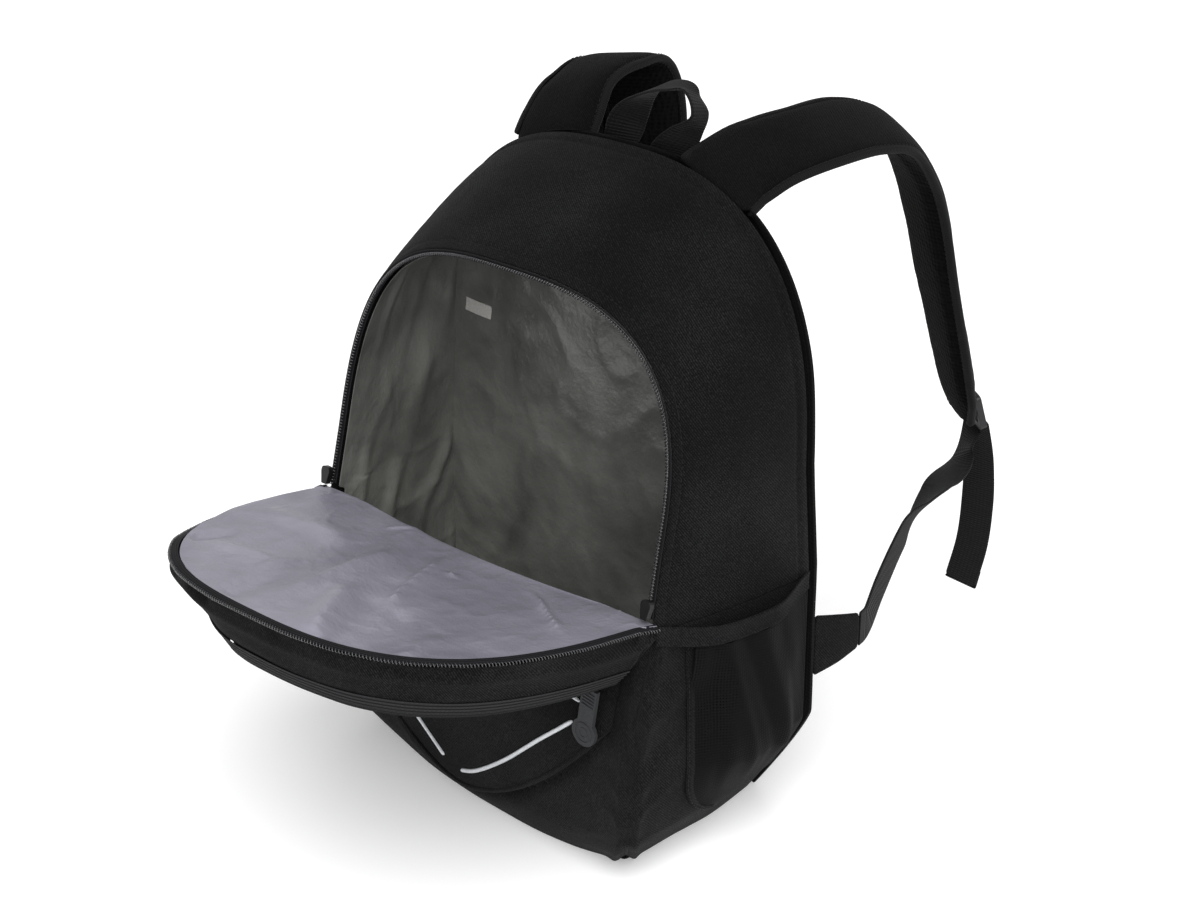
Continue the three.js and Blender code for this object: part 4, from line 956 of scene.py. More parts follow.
BACK_ROWS = spaced((0, 14, 6), (14, 380, 120), (380, 410, 18), (410, 421.3, 12))
back = sheet_piece(
    "back_pad", spaced((-1, -0.9, 8), (-0.9, 0.9, 84), (0.9, 1, 8)), BACK_ROWS, back_place,
    BACK_PAD, Vector((0, 1, 0)), rim=2.0)
dress(back, SPACER, "fabric", "back_panel", fill=0.8)


# Lining film inside the bag, in a darker copy of the lid's film with painted shade for the bag's inside
def film_crease(point, seed):
    ridge = 1 - abs(wander(point, 42, seed)) * 2.2
    fine = 1 - abs(wander((point[0], point[1], point[2] * 0.7), 17, seed + 2)) * 2.4
    return 1.3 * max(0.0, ridge) ** 4 + 0.5 * max(0.0, fine) ** 5 + 1.2 * wander(point, 70, seed + 4)


def sleeve_start(t):
    if 0 <= t <= 1:
        return 0.0
    z = HINGE_Z * (1 + t) if t < 0 else HINGE_Z * (2 - t)
    return (FOAM + 3 * CLEARANCE) / side_span(max(z, 0), 1 if t < 0 else -1)


def sleeve_place(u, v):
    low = -1 + (SLEEVE + 1) / HINGE_Z
    if u < 0:
        right = sleeve_place_at(low, v)
        left = sleeve_place_at(1 - low, v)
        return left.lerp(right, u + 1)
    return sleeve_place_at(mix(low, 1 - low, u), v)


def sleeve_place_at(t, v):
    v = mix(sleeve_start(t), 1, v)
    point = body_side(t, v)
    edge = ease(v / 0.12) * ease((1 - v) / 0.08)
    # Steep, uneven drapes on the left wall
    phase = 19 * v - point.z / 19 + 3.2 * wander(point, 70, 24.0)
    share = ease((t - 0.5) / 0.1) * max(0.2, 0.75 + 1.1 * wander(point, 55, 25.0))
    drape = 2.9 * max(0.0, math.sin(phase)) ** 2 * share
    place = off_side(t, v, -SLEEVE - 0.3 - edge * (drape + max(0.0, film_crease(point, 20.0))))
    place.z = max(place.z, SLEEVE)
    return place


sleeve = sheet_piece(
    "lining_sleeve_film", spaced((-1, 0, 40), (0, 1, 240)), spaced((0, 1, 34)), sleeve_place, FILM,
    lambda p: -away_from_middle(p), rim=0, closed=True)
dress(sleeve, SHADED_INNER_FILM, "lining", "lining_sleeve")

SHEET_EDGE = SLEEVE - 1.2


def lining_back_place(s, z):
    half = rear_width(z + 4) - SHEET_EDGE - (3 if z < 72 else 0)
    x = s * half
    edge = ease((1 - abs(s)) * half / 14) * ease((z - 8) / 12)
    return Vector((x, REAR_Y - 1.6 - edge * max(0.0, film_crease((x, 0, z), 30.0)), z))


lining_back = sheet_piece(
    "lining_back_film", spaced((-1, 1, 80)), spaced((8.8, 380, 90), (380, 412, 16)), lining_back_place, FILM,
    Vector((0, -1, 0)), rim=0)
dress(lining_back, SHADED_INNER_FILM, "lining", "lining_back")


def lining_front_place(a, s):
    z = max(SHEET_EDGE, s * front_top(a))
    point = front_face(a, z)
    edge = ease((1 - abs(a)) * 12) * ease((1 - s) * 8)
    crease = max(0.0, film_crease(point, 40.0))
    return off_front(a * (1 - SHEET_EDGE / corner_x(z)), z, -SLEEVE - 0.2 - edge * crease)


lining_front = sheet_piece(
    "lining_front_film", spaced((-1, 1, 70)), spaced((0.06, 1, 40)), lining_front_place, FILM,
    Vector((0, 1, 0)), rim=0)
dress(lining_front, SHADED_INNER_FILM, "lining", "lining_front")

# Blank care label sewn to the lining's back
LABEL_AT = (-0.77 * BODY_WIDTH / 2, REAR_Y - 2.6, 0.665 * 422)


def label_place(u, v):
    curl = 1.2 * (v * v) + 0.5 * math.sin(u * 3)
    return (LABEL_AT[0] + (u - 0.5) * 25, LABEL_AT[1] - curl, LABEL_AT[2] + (0.5 - v) * 9 - u * 1.5)


label = sheet_piece("care_label_cloth", spaced((0, 1, 10)), spaced((0, 1, 6)), label_place, 0.35,
                    Vector((0, -1, 0)), rim=0.1)
dress(label, LABEL, "label", "care_label")


# The main zip's half on the body: tape, coil and its topstitch
def zip_frame(t, inset, forward):
    edge = off_side(t, 0, -inset)
    inner = off_side(t, 0, -inset - 1)
    wide = (edge - inner).normalized()
    run = (body_side(t, 0) - body_side(t, 0.02)).normalized()
    return edge + run * forward, wide, run


BODY_TS = [mix(0.012, 0.988, k / 220) for k in range(221)]
body_tape = sheet_piece(
    "body_zip_tape", BODY_TS, spaced((0, 1, 4)),
    lambda t, v: zip_frame(t, mix(4.6, 0.2, v), mix(0.4, 1.4, v))[0], TAPE_THICK, Vector((0, -1, 0)), rim=0.2)
body_coil = coil_piece("body_zip_coil", [zip_frame(t, 2.6, 2.6) for t in BODY_TS], 1.15, 0.45, 2.1)
dress(body_tape, ZIP_TAPE, "zip_tape", "body_zip")
dress(body_coil, COIL, "zip_tape")


def gusset_mark(t, front):
    span = (rear_rim(t) - opening_rim(t)).length
    v = front / span
    place = off_side(t, v, gusset_relief(t, v) + 0.12)
    return place, normal_of(body_side, t, v, Vector((place.x, 0, place.z - HINGE_Z)))


marks = [gusset_mark(t, 7) for t in spaced((0, 1, 200))]
dress(stitch_row("gusset_topstitch", [m[0] for m in marks], [m[1] for m in marks]), THREAD, "fabric")


# The lid: crinkled film on a foam pad
CREASES = [
    # x and h of both ends, then height and width of the fold in the film
    (-7, 162, -22, 67, 1.7, 7),
    (49, 198, -61, -12, 1.2, 16),
    (-128, 70, -60, 60, 1.2, 14),
    (35, 111, 2, 38, 1.4, 3.2),
    (77, 173, 56, 121, -1.8, 9),
    (48, 180, 10, 122, 1.3, 8),
    (77, 28, 126, 58, 0.9, 2.6),
    (-119, 149, -108, 116, -1.2, 7),
    (-61, 26, -48, 15, 0.8, 2.2),
    (15, 50, 27, 45, 0.7, 2.0),
    (-48, 110, -52, 137, 0.9, 4),
    (-94, 135, -56, 123, 0.9, 6),
    (70, 187, 28, 116, -1.4, 8),
    (104, 165, 92, 128, 1.0, 6),
    (-25, 185, -36, 140, -1.0, 8),
]


def lid_relief(x, h):
    relief = 1.0 * wander((x, h, 0), 62, 50.0) + 0.25 * wander((x, h, 0), 24, 51.0)
    # Fine creases, drawn out along the film's diagonal
    along, off = 0.5 * x + 0.87 * h, 0.87 * x - 0.5 * h
    fine = 1 - abs(wander((along * 0.45, off, 0), 15, 52.0)) * 3
    relief += 0.6 * max(0.0, fine) ** 3
    for x0, h0, x1, h1, height, width in CREASES:
        run = Vector((x1 - x0, h1 - h0))
        share = (Vector((x - x0, h - h0)).dot(run)) / run.length_squared
        away = abs((x - x0) * run.y - (h - h0) * run.x) / run.length
        taper = ease((share + 0.25) / 0.5) * ease((1.25 - share) / 0.5)
        relief += 2.7 * height * bump(away, 0.85 * width) * taper
    return max(relief, -2.4)


def fan(t, q, inset, w, lift=0.0):
    x, h = lid_rim(t, inset, w)
    across = mix(lid_rim(0.01, inset, w)[0], lid_rim(0.99, inset, w)[0], t)
    start = fold_edge(across)
    h = max(h, fold_edge(x))
    return lid_point(mix(across, x, q), mix(start, h, q), w - lift), mix(across, x, q), mix(start, h, q)


LID_TS = [mix(0.01, 0.99, k / 150) for k in range(151)]
LID_QS = spaced((0, 0.9, 52), (0.9, 1, 12))


def left_corner(t):
    """Where the film covers the zip tape, from the lid's left corner to near the fold."""
    return ease((t - 0.66) / 0.08) * ease((0.96 - t) / 0.05)


def film_edge(t):
    """How far the film stays inside the rim: more on the left of the free edge."""
    middle = 3.4 * ease((t - 0.45) / 0.12) * ease((0.8 - t) / 0.06)
    return 1.9 + middle - 1.5 * left_corner(t)


def lid_film_place(t, q):
    edge = film_edge(t)
    x, h = fan(t, q, edge, 0)[1:]
    rim = 1 - ease((1 - q) / 0.08)
    pucker = rim * 0.7 * wander((t * 900, 0, 0), 13, 60.0)
    lift = lid_relief(x, h) * ease((1 - q) / 0.05) * ease(q / 0.03 + 0.2) + pucker
    return fan(t, q, edge, 0.3, lift + 0.3)[0]


lid_film = sheet_piece("lid_film", LID_TS, LID_QS, lid_film_place, FILM, Vector((0, 0, 1)), rim=0.15)
dress(lid_film, LID_FILM, "lining", "lid_lining")

lid_pad = sheet_piece(
    "lid_foam_cover", LID_TS[::3], spaced((0, 1, 20)),
    lambda t, q: fan(t, q, 5.4, 3.9)[0], FOAM - 2.8, Vector((0, 0, 1)), rim=1.2)
dress(lid_pad, OXFORD, "fabric", "lid_pad", fill=0.5)


# Round the lid: zip tape and coil, border band, ribbed tape and the pocket's face
def rim_place(t, inset, w, end_w=None):
    fade = ease(min(t, 1 - t) / 0.16)
    depth = w if end_w is None else mix(end_w, w, fade)
    x, h = lid_rim(t, inset, depth)
    return lid_point(x, h, depth)


def from_lid_middle(place):
    middle = lid_point(0, 90, 10) * MM
    return place - middle


RIM_TS = [mix(0.014, 0.986, k / 240) for k in range(241)]


def lid_tape_place(t, v):
    wave = 0.5 * wander((t * 900, 0, 0), 22, 61.0)
    return rim_place(t, mix(4.4, -0.2, v), mix(-0.7, 0.9, v * v) + wave * v + 2.6 * left_corner(t))


lid_tape = sheet_piece(
    "lid_zip_tape", RIM_TS, spaced((0, 1, 6)), lid_tape_place, TAPE_THICK, Vector((0, 0, 1)), rim=0.2)
dress(lid_tape, ZIP_TAPE, "zip_tape", "lid_zip")
coil_frames = []
for t in RIM_TS:
    wave = 0.5 * wander((t * 900, 0, 0), 22, 61.0) + 2.6 * left_corner(t)
    at = rim_place(t, -0.5, 1.5 + wave)
    inner = rim_place(t, 0.5, 1.5 + wave)
    coil_frames.append((at, (at - inner).normalized(), lid_point(0, 0, -1) - lid_point(0, 0, 0)))
dress(coil_piece("lid_zip_coil", coil_frames, 1.15, 0.45, 2.1), COIL, "zip_tape")

BORDER_TOP = 3.6
BORDER_FOOT = 27.3
BORDER_END = BORDER_TOP + 24 * 0.45


def tape_rise(t):
    """The ribbed tape shows higher on the left half."""
    return 17 * ease((t - 0.46) / 0.34) * ease((0.86 - t) / 0.05)


def border_place(t, v):
    end_w = mix(BORDER_TOP, BORDER_END, v)
    w = mix(BORDER_TOP, BORDER_FOOT - tape_rise(t), v)
    inset = 0.6 + 5.4 * v ** 1.6
    run = t * 760
    fold = 3.0 * bump(v - 0.42 - 0.10 * wander((run, 0, 0), 130, 62.0), 0.13)
    fold *= 0.5 + 0.5 * wander((run, 9, 0), 90, 63.0)
    pucker = 2.6 * bump(v - 0.1, 0.14) * max(0.0, wander((run, 0, 5), 14, 64.0)) * 1.6
    soft = 1.8 * wander((run, v * 40, 0), 38, 65.0) * ease(v / 0.2) * ease((1 - v) / 0.15)
    return rim_place(t, inset + 0.4 - fold + pucker - soft, w, end_w)


border = sheet_piece(
    "lid_border_cloth", RIM_TS, spaced((0, 0.2, 6), (0.2, 1, 14)), border_place, CLOTH, from_lid_middle)
dress(border, OXFORD, "fabric", "lid_border")

TAPE_TOP = 27.6
TAPE_INSET = 5.5
TAPE_TURN = 12.85
TAPE_FALL = 14.25


def pocket_tape_place(t, v):
    ridge = 0.55 * math.sin(5 * 2 * math.pi * v) + 0.5 * wander((t * 760, v * 20, 0), 40, 66.0)
    rise = tape_rise(t)
    inset = TAPE_INSET + TAPE_TURN * v - ridge * 0.7
    return rim_place(t, inset, TAPE_TOP - rise + (TAPE_FALL + rise) * v + ridge * 0.7)


pocket_tape = sheet_piece(
    "lid_pocket_tape", spaced((0.15, 0.85, 170)), spaced((0, 1, 44)), pocket_tape_place, FACE_CLOTH,
    from_lid_middle, rim=0.4)
dress(pocket_tape, POCKET_TAPE, "zip_tape", "lid_pocket_zip")

POCKET_INSET = TAPE_INSET + TAPE_TURN + 2 + CLEARANCE
POCKET_W = TAPE_TOP + TAPE_FALL + CLEARANCE
# Where the pocket begins, measured away from the lid's fold
POCKET_START = 34.5


def pocket_face_place(t, q):
    x, h = lid_rim(t, POCKET_INSET, POCKET_W)
    h = max(h, POCKET_START)
    across = mix(lid_rim(0.01, POCKET_INSET, POCKET_W)[0], lid_rim(0.99, POCKET_INSET, POCKET_W)[0], t)
    x, h = mix(across, x, q), mix(POCKET_START, h, q)
    near = min((1 - q) * 80, h - POCKET_START, 60)
    swell = 6.2 * (1 - bump(near, 22))
    relief = 1.0 * wander((x, h, 0), 40, 70.0) * (1 - bump(near, 12))
    return lid_point(x, h, POCKET_W + 0.2 + max(0.0, swell + relief))




def pocket_back_place(u, w):
    inset = 1.5 + 17 * ease((w - 8) / 34)
    left, right = lid_rim(0.815, inset, w)[0] + 1.5, lid_rim(0.185, inset, w)[0] - 1.5
    return lid_point(mix(left, right, u), POCKET_START - 1, w)


# The lid pocket's cloth along the fold, between foam and face
pocket_back = sheet_piece(
    "lid_pocket_back", spaced((0, 1, 60)), spaced((7.6, POCKET_W + 0.6, 12)), pocket_back_place, 0.8,
    Vector((0, 1, 0)), rim=0)
dress(pocket_back, OXFORD, "fabric")

pocket_face = sheet_piece(
    "lid_pocket_cloth", LID_TS, spaced((0, 0.8, 26), (0.8, 1, 12)), pocket_face_place, FACE_CLOTH,
    Vector((0, 0, -1)), rim=0.5)
dress(pocket_face, OXFORD, "fabric", "lid_pocket_face", fill=0.4)

# Hem bands and mesh pockets on the sides
POCKET_MOUTH = 11.0
HEM = 13
NET_FOOT = 28


def band_top(v):
    return HINGE_Z - 1 - 7 * 4 * v * (1 - v)


def mouth_lift(v):
    return POCKET_MOUTH * ease(v / 0.35) * ease((1 - v) / 0.35)


def mesh_front(z, sign):
    span = side_span(z, sign)
    start = (-44 - corner_y(z, sign)) / span
    corner = 40
    low = min(max(0.0, (NET_FOOT + corner - z) / corner), 1)
    return start + (corner / span) * (1 - math.sqrt(max(0.0, 1 - low * low)))


# Start along the mouth, lean, depth and width of each drape of the net
NET_DRAPES = ((0.22, 0.34, 2.6, 0.05), (0.36, 0.42, -2.0, 0.05), (0.5, 0.40, 2.4, 0.06),
              (0.66, 0.34, -1.8, 0.06), (0.12, 0.10, -1.4, 0.04))
for name, sign in SIDES:
    def band_place(v, s, sign=sign):
        v = mix(0.01, 0.99, v)
        z = band_top(v) - s * HEM
        fold = 0.5 * bump(s - 0.12, 0.1) + 0.5 * bump(s - 0.9, 0.1)
        wave = 0.7 * wander((v * 130, 0, z), 30, 80.0 + sign)
        return off_side(side_t(z, sign), v, 2.0 + fold + wave * 0.6 + mouth_lift(v))

    band = sheet_piece(f"hem_band_{name}", spaced((0, 1, 60)), spaced((0, 1, 12)), band_place, CLOTH,
                       Vector((sign, 0, 0)))
    dress(band, OXFORD, "fabric", f"side_band_{name}")

    def net_place(across, share, sign=sign):
        up = share ** 1.2
        v = mix(mesh_front(mix(NET_FOOT, HINGE_Z - HEM, up), sign), 0.99, across)
        z = mix(NET_FOOT, band_top(v) - HEM - CLEARANCE, up)
        belly = ease(up / 0.45) * POCKET_MOUTH * ease(across / 0.3) * ease((1 - across) / 0.3)
        held = mouth_lift(v)
        lift = mix(belly, held, ease((up - 0.7) / 0.3))
        # Soft drapes hang from the mouth down to the rear and to the front corner
        drape = 0.0
        for start, lean, depth, width in NET_DRAPES:
            drape += 1.5 * depth * bump(across - start - lean * (1 - up), width)
        drape *= ease(across / 0.12) * ease((1 - across) / 0.12) * ease(up / 0.3)
        return off_side(side_t(z, sign), v, 1.0 + lift * 0.97 + drape * 0.55)

    net = sheet_piece(f"net_pocket_{name}", spaced((0, 1, 56)), spaced((0, 1, 64)), net_place, 0.6,
                      Vector((sign, 0, 0)), rim=0)
    dress(net, NET, "mesh", f"mesh_pocket_{name}")

    def seam_place(z, across, sign=sign):
        v = mesh_front(z, sign) + (across - 0.5) * 6 / side_span(z, sign)
        return off_side(side_t(z, sign), v, 1.6 + 0.8 * bump(across - 0.5, 0.3))

    seam = sheet_piece(f"net_seam_{name}", spaced((29, 60, 16), (60, 164, 30)), spaced((0, 1, 6)),
                       seam_place, 0.7, Vector((sign, 0, 0)), rim=0.2)
    dress(seam, OXFORD, "fabric")
    heights = spaced((32, 60, 20), (60, 163, 60))
    path = [seam_place(z, 0.2) + Vector((sign * 0.25, 0, 0)) for z in heights]
    dress(stitch_row(f"net_stitches_{name}", path, [Vector((sign, 0, 0))] * len(path)), THREAD, "fabric")

# Padded straps: reach, rise and drop, then rows of share back, up, down and aside, turn and tip, and width
STRAP_ROWS = {
    "right": (238, 24, 218, [
        (0.00, 0.00, 0.00, 0.00, 0, 24, 1.05), (0.04, 0.28, 0.00, 0.02, 0, 24, 1.02),
        (0.13, 0.74, 0.00, 0.20, -10, 24, 1), (0.25, 1.00, 0.00, 0.38, -16, 22, 1),
        (0.42, 1.00, 0.00, 0.44, -18, 20, 1), (0.57, 0.55, 0.00, 0.46, -22, 14, 1),
        (0.68, 0.00, 0.08, 0.46, -24, 6, 1), (0.75, 0.00, 0.24, 0.46, -26, 0, 1),
        (0.82, 0.00, 0.46, 0.46, -28, 0, 1), (0.90, 0.00, 0.70, 0.46, -30, 0, 1),
        (0.96, 0.00, 0.88, 0.46, -31, 0, 0.92), (1.00, 0.00, 1.00, 0.46, -31, 0, 0.5)]),
    "left": (112, 44, 205, [
        (0.00, 0.00, 0.00, -0.13, -20, 22, 1.05), (0.08, 0.34, 0.00, -0.14, -18, 20, 1.04),
        (0.24, 0.82, 0.00, -0.15, -12, 16, 1), (0.44, 1.00, 0.00, -0.16, -14, 8, 1),
        (0.62, 0.90, 0.00, -0.17, -28, 4, 1), (0.74, 0.34, 0.00, -0.16, -38, 2, 1),
        (0.80, 0.00, 0.15, -0.12, -38, 0, 1), (0.90, 0.00, 0.42, -0.06, -24, 0, 1),
        (0.98, 0.00, 0.72, 0.00, -6, 0, 1), (0.95, 0.00, 0.90, 0.02, 0, 0, 0.92),
        (0.92, 0.00, 1.00, 0.02, 0, 0, 0.5)]),
}
STRAP_WIDTH, STRAP_PAD = 62.0, 12.0
ROOT_X = 77.0


def seam_height(x):
    share = abs(x) / (REAR["width"] / 2 * REAR["taper"])
    rise = (1 - share ** REAR["roundness"]) ** (1 / REAR["roundness"])
    return HINGE_Z + REAR["straight"] + (REAR["height"] - REAR["straight"]) * rise


def line_underside(piece, frames):
    """Gives the wearer's side of a strap its second material."""
    middles = np.array([f[0] for f in frames]) * MM
    deeps = np.array([f[2] for f in frames])
    under = -math.copysign(1, deeps[len(frames) // 4][2])
    for face in piece.data.polygons:
        k = int(np.argmin(((middles - np.array(face.center)) ** 2).sum(axis=1)))
        if np.array(face.normal).dot(deeps[k]) * under > 0.3:
            face.material_index = 1


strap_ends = {}
for name, sign in SIDES:
    reach, rise, drop, table = STRAP_ROWS[name]
    root_y = BACK_Y + BACK_CROWN * 0.5 + 2 * CLEARANCE
    root = np.array((sign * ROOT_X, root_y, seam_height(ROOT_X) - STRAP_PAD / 2))
    rows = []
    for back_share, up, down, side, turn, tip, size in table:
        turn, tip = math.radians(turn), math.radians(tip)
        rows.append({
            "at": root + np.array((sign * side * STRAP_WIDTH, back_share * reach, up * rise - down * drop)),
            "wide": (sign * math.cos(turn) * math.cos(tip), math.sin(turn) * math.cos(tip), -math.sin(tip)),
            "width": size * STRAP_WIDTH})
    rows[0]["run"] = (0, 1, 0) if sign > 0 else (0, 0.55, 0.84)
    rows[0]["at"] = rows[0]["at"] + np.array((0, -9, -1) if sign > 0 else (0, -4, -6))
    frames = band_frames(rows, 90)

    def padded_section(share, width):
        thick = STRAP_PAD * (0.55 + 0.45 * ease(share / 0.1)) * (0.6 + 0.4 * ease((1 - share) / 0.08))
        return pillow_section(width - 3, thick)

    strap = sweep_band(f"strap_pad_{name}", frames, padded_section, smooth=0)
    puff(strap, 3.6, 3.0, 2.0)
    dress(strap, STRAP_CLOTH, "fabric", f"shoulder_strap_{name}", fill=0.7)
    strap.data.materials.append(SPACER_PAD)
    line_underside(strap, frames)
    # Binding tape folded over both long edges, with its stitches
    stitches = []
    bindings = []
    for edge in (-1, 1):
        rings = []
        for k, (at, wide, deep, run, width) in enumerate(frames[2:-1]):
            middle = at + wide * edge * (width / 2 - 1.6)
            wobble = 0.25 * wander((k * 3, edge * 50, 0), 9, 90)
            rings.append([middle + wide * a * edge + deep * b for a, b in (
                (-3.6, 2.9 + wobble), (-1.2, 2.9), (1.0, 2.1), (1.9, 0), (1.0, -2.1), (-1.2, -2.9),
                (-3.6, -2.9 - wobble), (-3.6, -1.8), (-1.0, -1.6), (-1.0, 1.6), (-3.6, 1.8))])
        bindings.append(sweep_piece(f"binding_{name}", rings, 1))
        for face in (-1, 1):
            path = [at + wide * edge * (width / 2 - 4.0) + deep * face * 3.15
                    for at, wide, deep, run, width in frames[2:-2]]
            ups = [deep * face for at, wide, deep, run, width in frames[2:-2]]
            stitches.append(stitch_row("stitch", path, ups))
    dress(join(f"strap_binding_{name}", bindings), BINDING, "fabric")
    dress(join(f"strap_stitches_{name}", stitches), THREAD, "fabric")

    end = rows[-1]
    run = end["at"] - rows[-2]["at"]
    run /= np.linalg.norm(run)
    wide = np.array(end["wide"], float)
    wide -= run * wide.dot(run)
    wide /= np.linalg.norm(wide)
    out = np.cross(wide, run)
    if out[1] < 0:
        out = -out
    strap_ends[name] = (end["at"], run, wide, out)

TAB_Z = 118.0
TAB_LENGTH = 38.0


def webbing_section(share, width):
    return flat_section(width, WEBBING_THICK)


# Share of the way, lift as a share of the slack, and turn in degrees of the lower webbing
LOWER_TABLES = {
    "right": [(0, 0, 0), (0.12, -0.9, 2), (0.34, 0.1, 6), (0.50, 0.70, 22), (0.64, 1, 84), (0.84, 0.35, 90),
              (0.94, -0.32, 90), (1, 0, 90)],
    "left": [(0, 0, 0), (0.15, -0.7, 5), (0.4, -1.3, 40), (0.65, -1.6, 80), (0.85, -1.1, 90), (1, 0, 90)],
}
for name, sign in SIDES:
    at, run, wide, out = strap_ends[name]
    centre = at - run * 27 * 0.35 + out * (6 + 2.5 + CLEARANCE)
    tail_top = centre + out * (2.5 + 0.6 + 1) + run * (13.5 - CLEARANCE)
    flat = np.array((wide[0], wide[1], 0.0))
    flat /= np.linalg.norm(flat)
    tail_rows = []
    turned = np.array((sign * 0.98, 0.2, 0.0))
    for share in (0, 0.25, 0.5, 0.75, 1):
        sway = 6 * math.sin(share * math.pi * 0.75)
        tail_rows.append({"at": np.array((tail_top[0] - sign * 10 * share ** 4, tail_top[1] + sway,
                                          tail_top[2] - share * 136)),
                          "wide": mix(flat, turned, ease(share * 2.2 + 0.1)), "width": WEBBING_WIDTH})
    frames = band_frames(tail_rows, 50)
    tail = sweep_band(f"tail_webbing_{name}", frames, webbing_section)
    # The end is folded back and stitched down
    at, wide_end, deep, run_end, width = frames[-1]
    rings = []
    for k in range(13):
        angle = math.pi * min(k / 5, 1)
        back_up = max(0.0, (k - 5) * 2.0)
        middle = at + deep * (1.1 - 1.1 * math.cos(angle)) + run_end * (1.2 * math.sin(angle) - back_up)
        normal = deep * math.cos(angle) + run_end * math.sin(angle) * -1
        rings.append([middle + wide_end * a + normal * b for a, b in flat_section(WEBBING_WIDTH, 1.7)])
    fold = sweep_piece(f"tail_fold_{name}", rings, 1)
    dress(join(f"tail_webbing_{name}", [tail, fold]), WEBBING, "webbing", f"webbing_tail_{name}")

    tab_y = BACK_Y + BACK_CROWN * 0.35 + CLEARANCE
    seam_x = rear_half(TAB_Z) - 2
    finish_at = np.array((sign * (seam_x + 7), tab_y + TAB_LENGTH + 3 * CLEARANCE, TAB_Z))
    start = centre + run * (13.5 + 4) - out * 2
    rise = 0.054 * np.linalg.norm(finish_at - start)
    lower_rows = []
    aside = np.array((sign * 0.7, -0.714, 0.0))
    for way, lift, turn in LOWER_TABLES[name]:
        turn = math.radians(turn)
        level = mix(flat, aside, ease(way / 0.2) * ease((0.75 - way) / 0.2)) if sign > 0 else flat
        lower_rows.append({
            "at": mix(start, finish_at, way) + np.array((0, 0, rise * lift)),
            "wide": level * math.cos(turn) + np.array((0, 0, math.sin(turn))), "width": WEBBING_WIDTH})
    lower_rows[0]["run"] = run
    lower_rows[-1]["run"] = (0, -1, 0)
    lower = sweep_band(f"lower_strap_{name}", band_frames(lower_rows, 80), webbing_section)
    dress(lower, WEBBING, "webbing", f"lower_webbing_{name}")

    tab_rows = [
        {"at": (sign * seam_x, tab_y, TAB_Z), "wide": (0, 0, 1), "width": 44},
        {"at": (sign * (seam_x + 4.9), tab_y + TAB_LENGTH / 2, TAB_Z), "wide": (0, 0, 1), "width": 35.2},
        {"at": (sign * (seam_x + 7), tab_y + TAB_LENGTH, TAB_Z), "wide": (0, 0, 1), "width": WEBBING_WIDTH}]
    tab = sweep_band(
        f"tab_cloth_{name}", band_frames(tab_rows, 14), lambda share, width: flat_section(width, 2.4))
    dress(tab, OXFORD, "fabric", f"strap_tab_{name}")

# The carry handle: share across, up and behind, and turn in degrees
HANDLE_TABLE = [
    (-0.14, 0.03, 0.0, 15), (-0.06, 0.42, 0.05, 50), (0.08, 0.76, 0.15, 85), (0.30, 0.97, 0.2, 112),
    (0.54, 1.00, 0.2, 130), (0.67, 0.74, 0.15, 105), (0.56, 0.42, 0.0, 55), (0.35, 0.02, 0.0, 15)]
HANDLE_SPREAD, HANDLE_RISE, HANDLE_BEHIND = 78, 44, 25
foot_y = BACK_Y + BACK_CROWN * 0.35 + WEBBING_WIDTH / 2 * math.sin(math.radians(15)) + 2
handle_rows = []
for across, up, behind, turn in HANDLE_TABLE:
    turn = math.radians(turn)
    handle_rows.append({
        "at": (across * HANDLE_SPREAD, foot_y + behind * HANDLE_BEHIND,
               seam_height(across * HANDLE_SPREAD) - FOAM + up * HANDLE_RISE),
        "wide": (math.cos(turn), math.sin(turn), 0), "width": WEBBING_WIDTH})
handle_rows[0]["run"] = (0, 0, 1)
handle_rows[-1]["run"] = (0, 0, -1)
handle = sweep_band("handle_webbing", band_frames(handle_rows, 90), webbing_section)
dress(handle, WEBBING, "webbing", "grab_handle")

# Hard fittings keep their CAD shape, with softened edges
for node, material, width in (
        ("ladder_lock_right", ACETAL, 0.7), ("ladder_lock_left", ACETAL, 0.7),
        ("main_slider_right", DARK_METAL, 0.5), ("main_slider_left", DARK_METAL, 0.5),
        ("pocket_slider", GUNMETAL, 0.5), ("pull_ring", GUNMETAL, 0.1), ("rubber_pull", RUBBER, 0.5)):
    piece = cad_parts[node]
    piece.data.materials.clear()
    piece.data.materials.append(material)
    weld = piece.modifiers.new("weld", "WELD")
    weld.merge_threshold = 1e-5
    soft = piece.modifiers.new("edges", "BEVEL")
    soft.width = width * MM
    soft.segments = 2
    soft.angle_limit = math.radians(35)

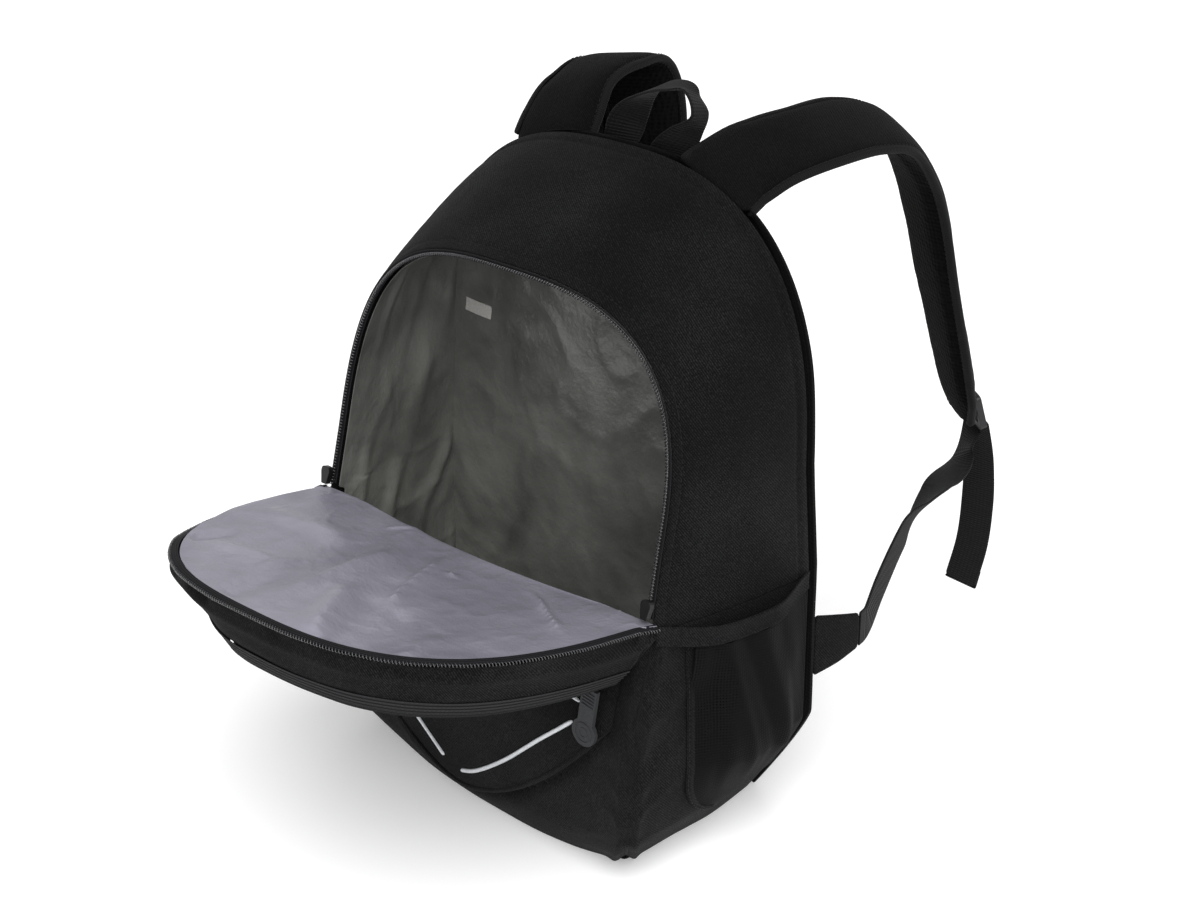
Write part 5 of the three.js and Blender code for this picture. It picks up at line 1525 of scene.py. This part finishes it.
# The rubber pull's moulded ribs and its plain raised rings
ring_box = np.array(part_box("pull_ring"))
ring_middle = Vector(ring_box.mean(axis=0))
SWING = math.radians(10)
down = Vector((-math.sin(SWING), 0, -math.cos(SWING)))
details = []
for across, wire in ((6.6, 0.55), (3.1, 0.45)):
    bpy.ops.object.select_all(action="DESELECT")
    bpy.ops.mesh.primitive_torus_add(
        major_radius=across * MM, minor_radius=wire * MM, major_segments=36, minor_segments=8,
        location=ring_middle + down * 37.8 * MM + Vector((0, -1.45 * MM, 0)), rotation=(math.pi / 2, 0, 0))
    bpy.ops.object.transform_apply(location=True, rotation=True, scale=True)
    bpy.ops.object.shade_smooth()
    details.append(bpy.context.object)
for step in range(5):
    bpy.ops.object.select_all(action="DESELECT")
    bpy.ops.mesh.primitive_cube_add(
        size=1, location=ring_middle + down * (8.5 + 2.3 * step) * MM + Vector((0, -1.5 * MM, 0)),
        rotation=(0, SWING, 0), scale=(9.5 * MM, 1.1 * MM, 1.1 * MM))
    bpy.ops.object.transform_apply(location=True, rotation=True, scale=True)
    rib = bpy.context.object
    round_edges = rib.modifiers.new("edges", "BEVEL")
    round_edges.width = 0.4 * MM
    round_edges.segments = 2
    apply_all(rib)
    bpy.ops.object.shade_smooth()
    details.append(rib)
dress(join("pull_relief", details), RUBBER, "rubber")

# Floor, background and light
bpy.ops.mesh.primitive_plane_add(size=14, location=(0, 0, -0.0005))
floor = bpy.context.object
floor.name = "floor"
# The floor glows faintly: painted light that pales the shadows on it and lights the bag a little from below
floor_material, floor_tree, floor_shader = new_material("pale_floor", {
    "Base Color": colour("#f4f4f4"), "Roughness": 0.9, "Specular IOR Level": 0.1,
    "Emission Color": (1, 1, 1, 1), "Emission Strength": 0.22})
floor.data.materials.append(floor_material)

world = bpy.data.worlds.new("studio")
world.use_nodes = True
world.node_tree.nodes["Background"].inputs["Color"].default_value = (1, 1, 1, 1)
world.node_tree.nodes["Background"].inputs["Strength"].default_value = 0.5
bpy.context.scene.world = world
# Broad far lights: the key from high on the right, weak ones from the front and from behind
for name, place, spread, strength in (
        ("key_light", (0.75, -0.75, 1.5), 42, 2.2), ("front_light", (1.3, -1.1, 0.7), 35, 1.2),
        ("rear_light", (-0.8, 1.0, 0.9), 30, 0.12)):
    lamp = bpy.data.lights.new(name, "SUN")
    lamp.energy = strength
    lamp.angle = math.radians(spread)
    light = bpy.data.objects.new(name, lamp)
    light.location = place
    light.rotation_euler = (-Vector(place)).to_track_quat("-Z", "Y").to_euler()
    bpy.context.scene.collection.objects.link(light)
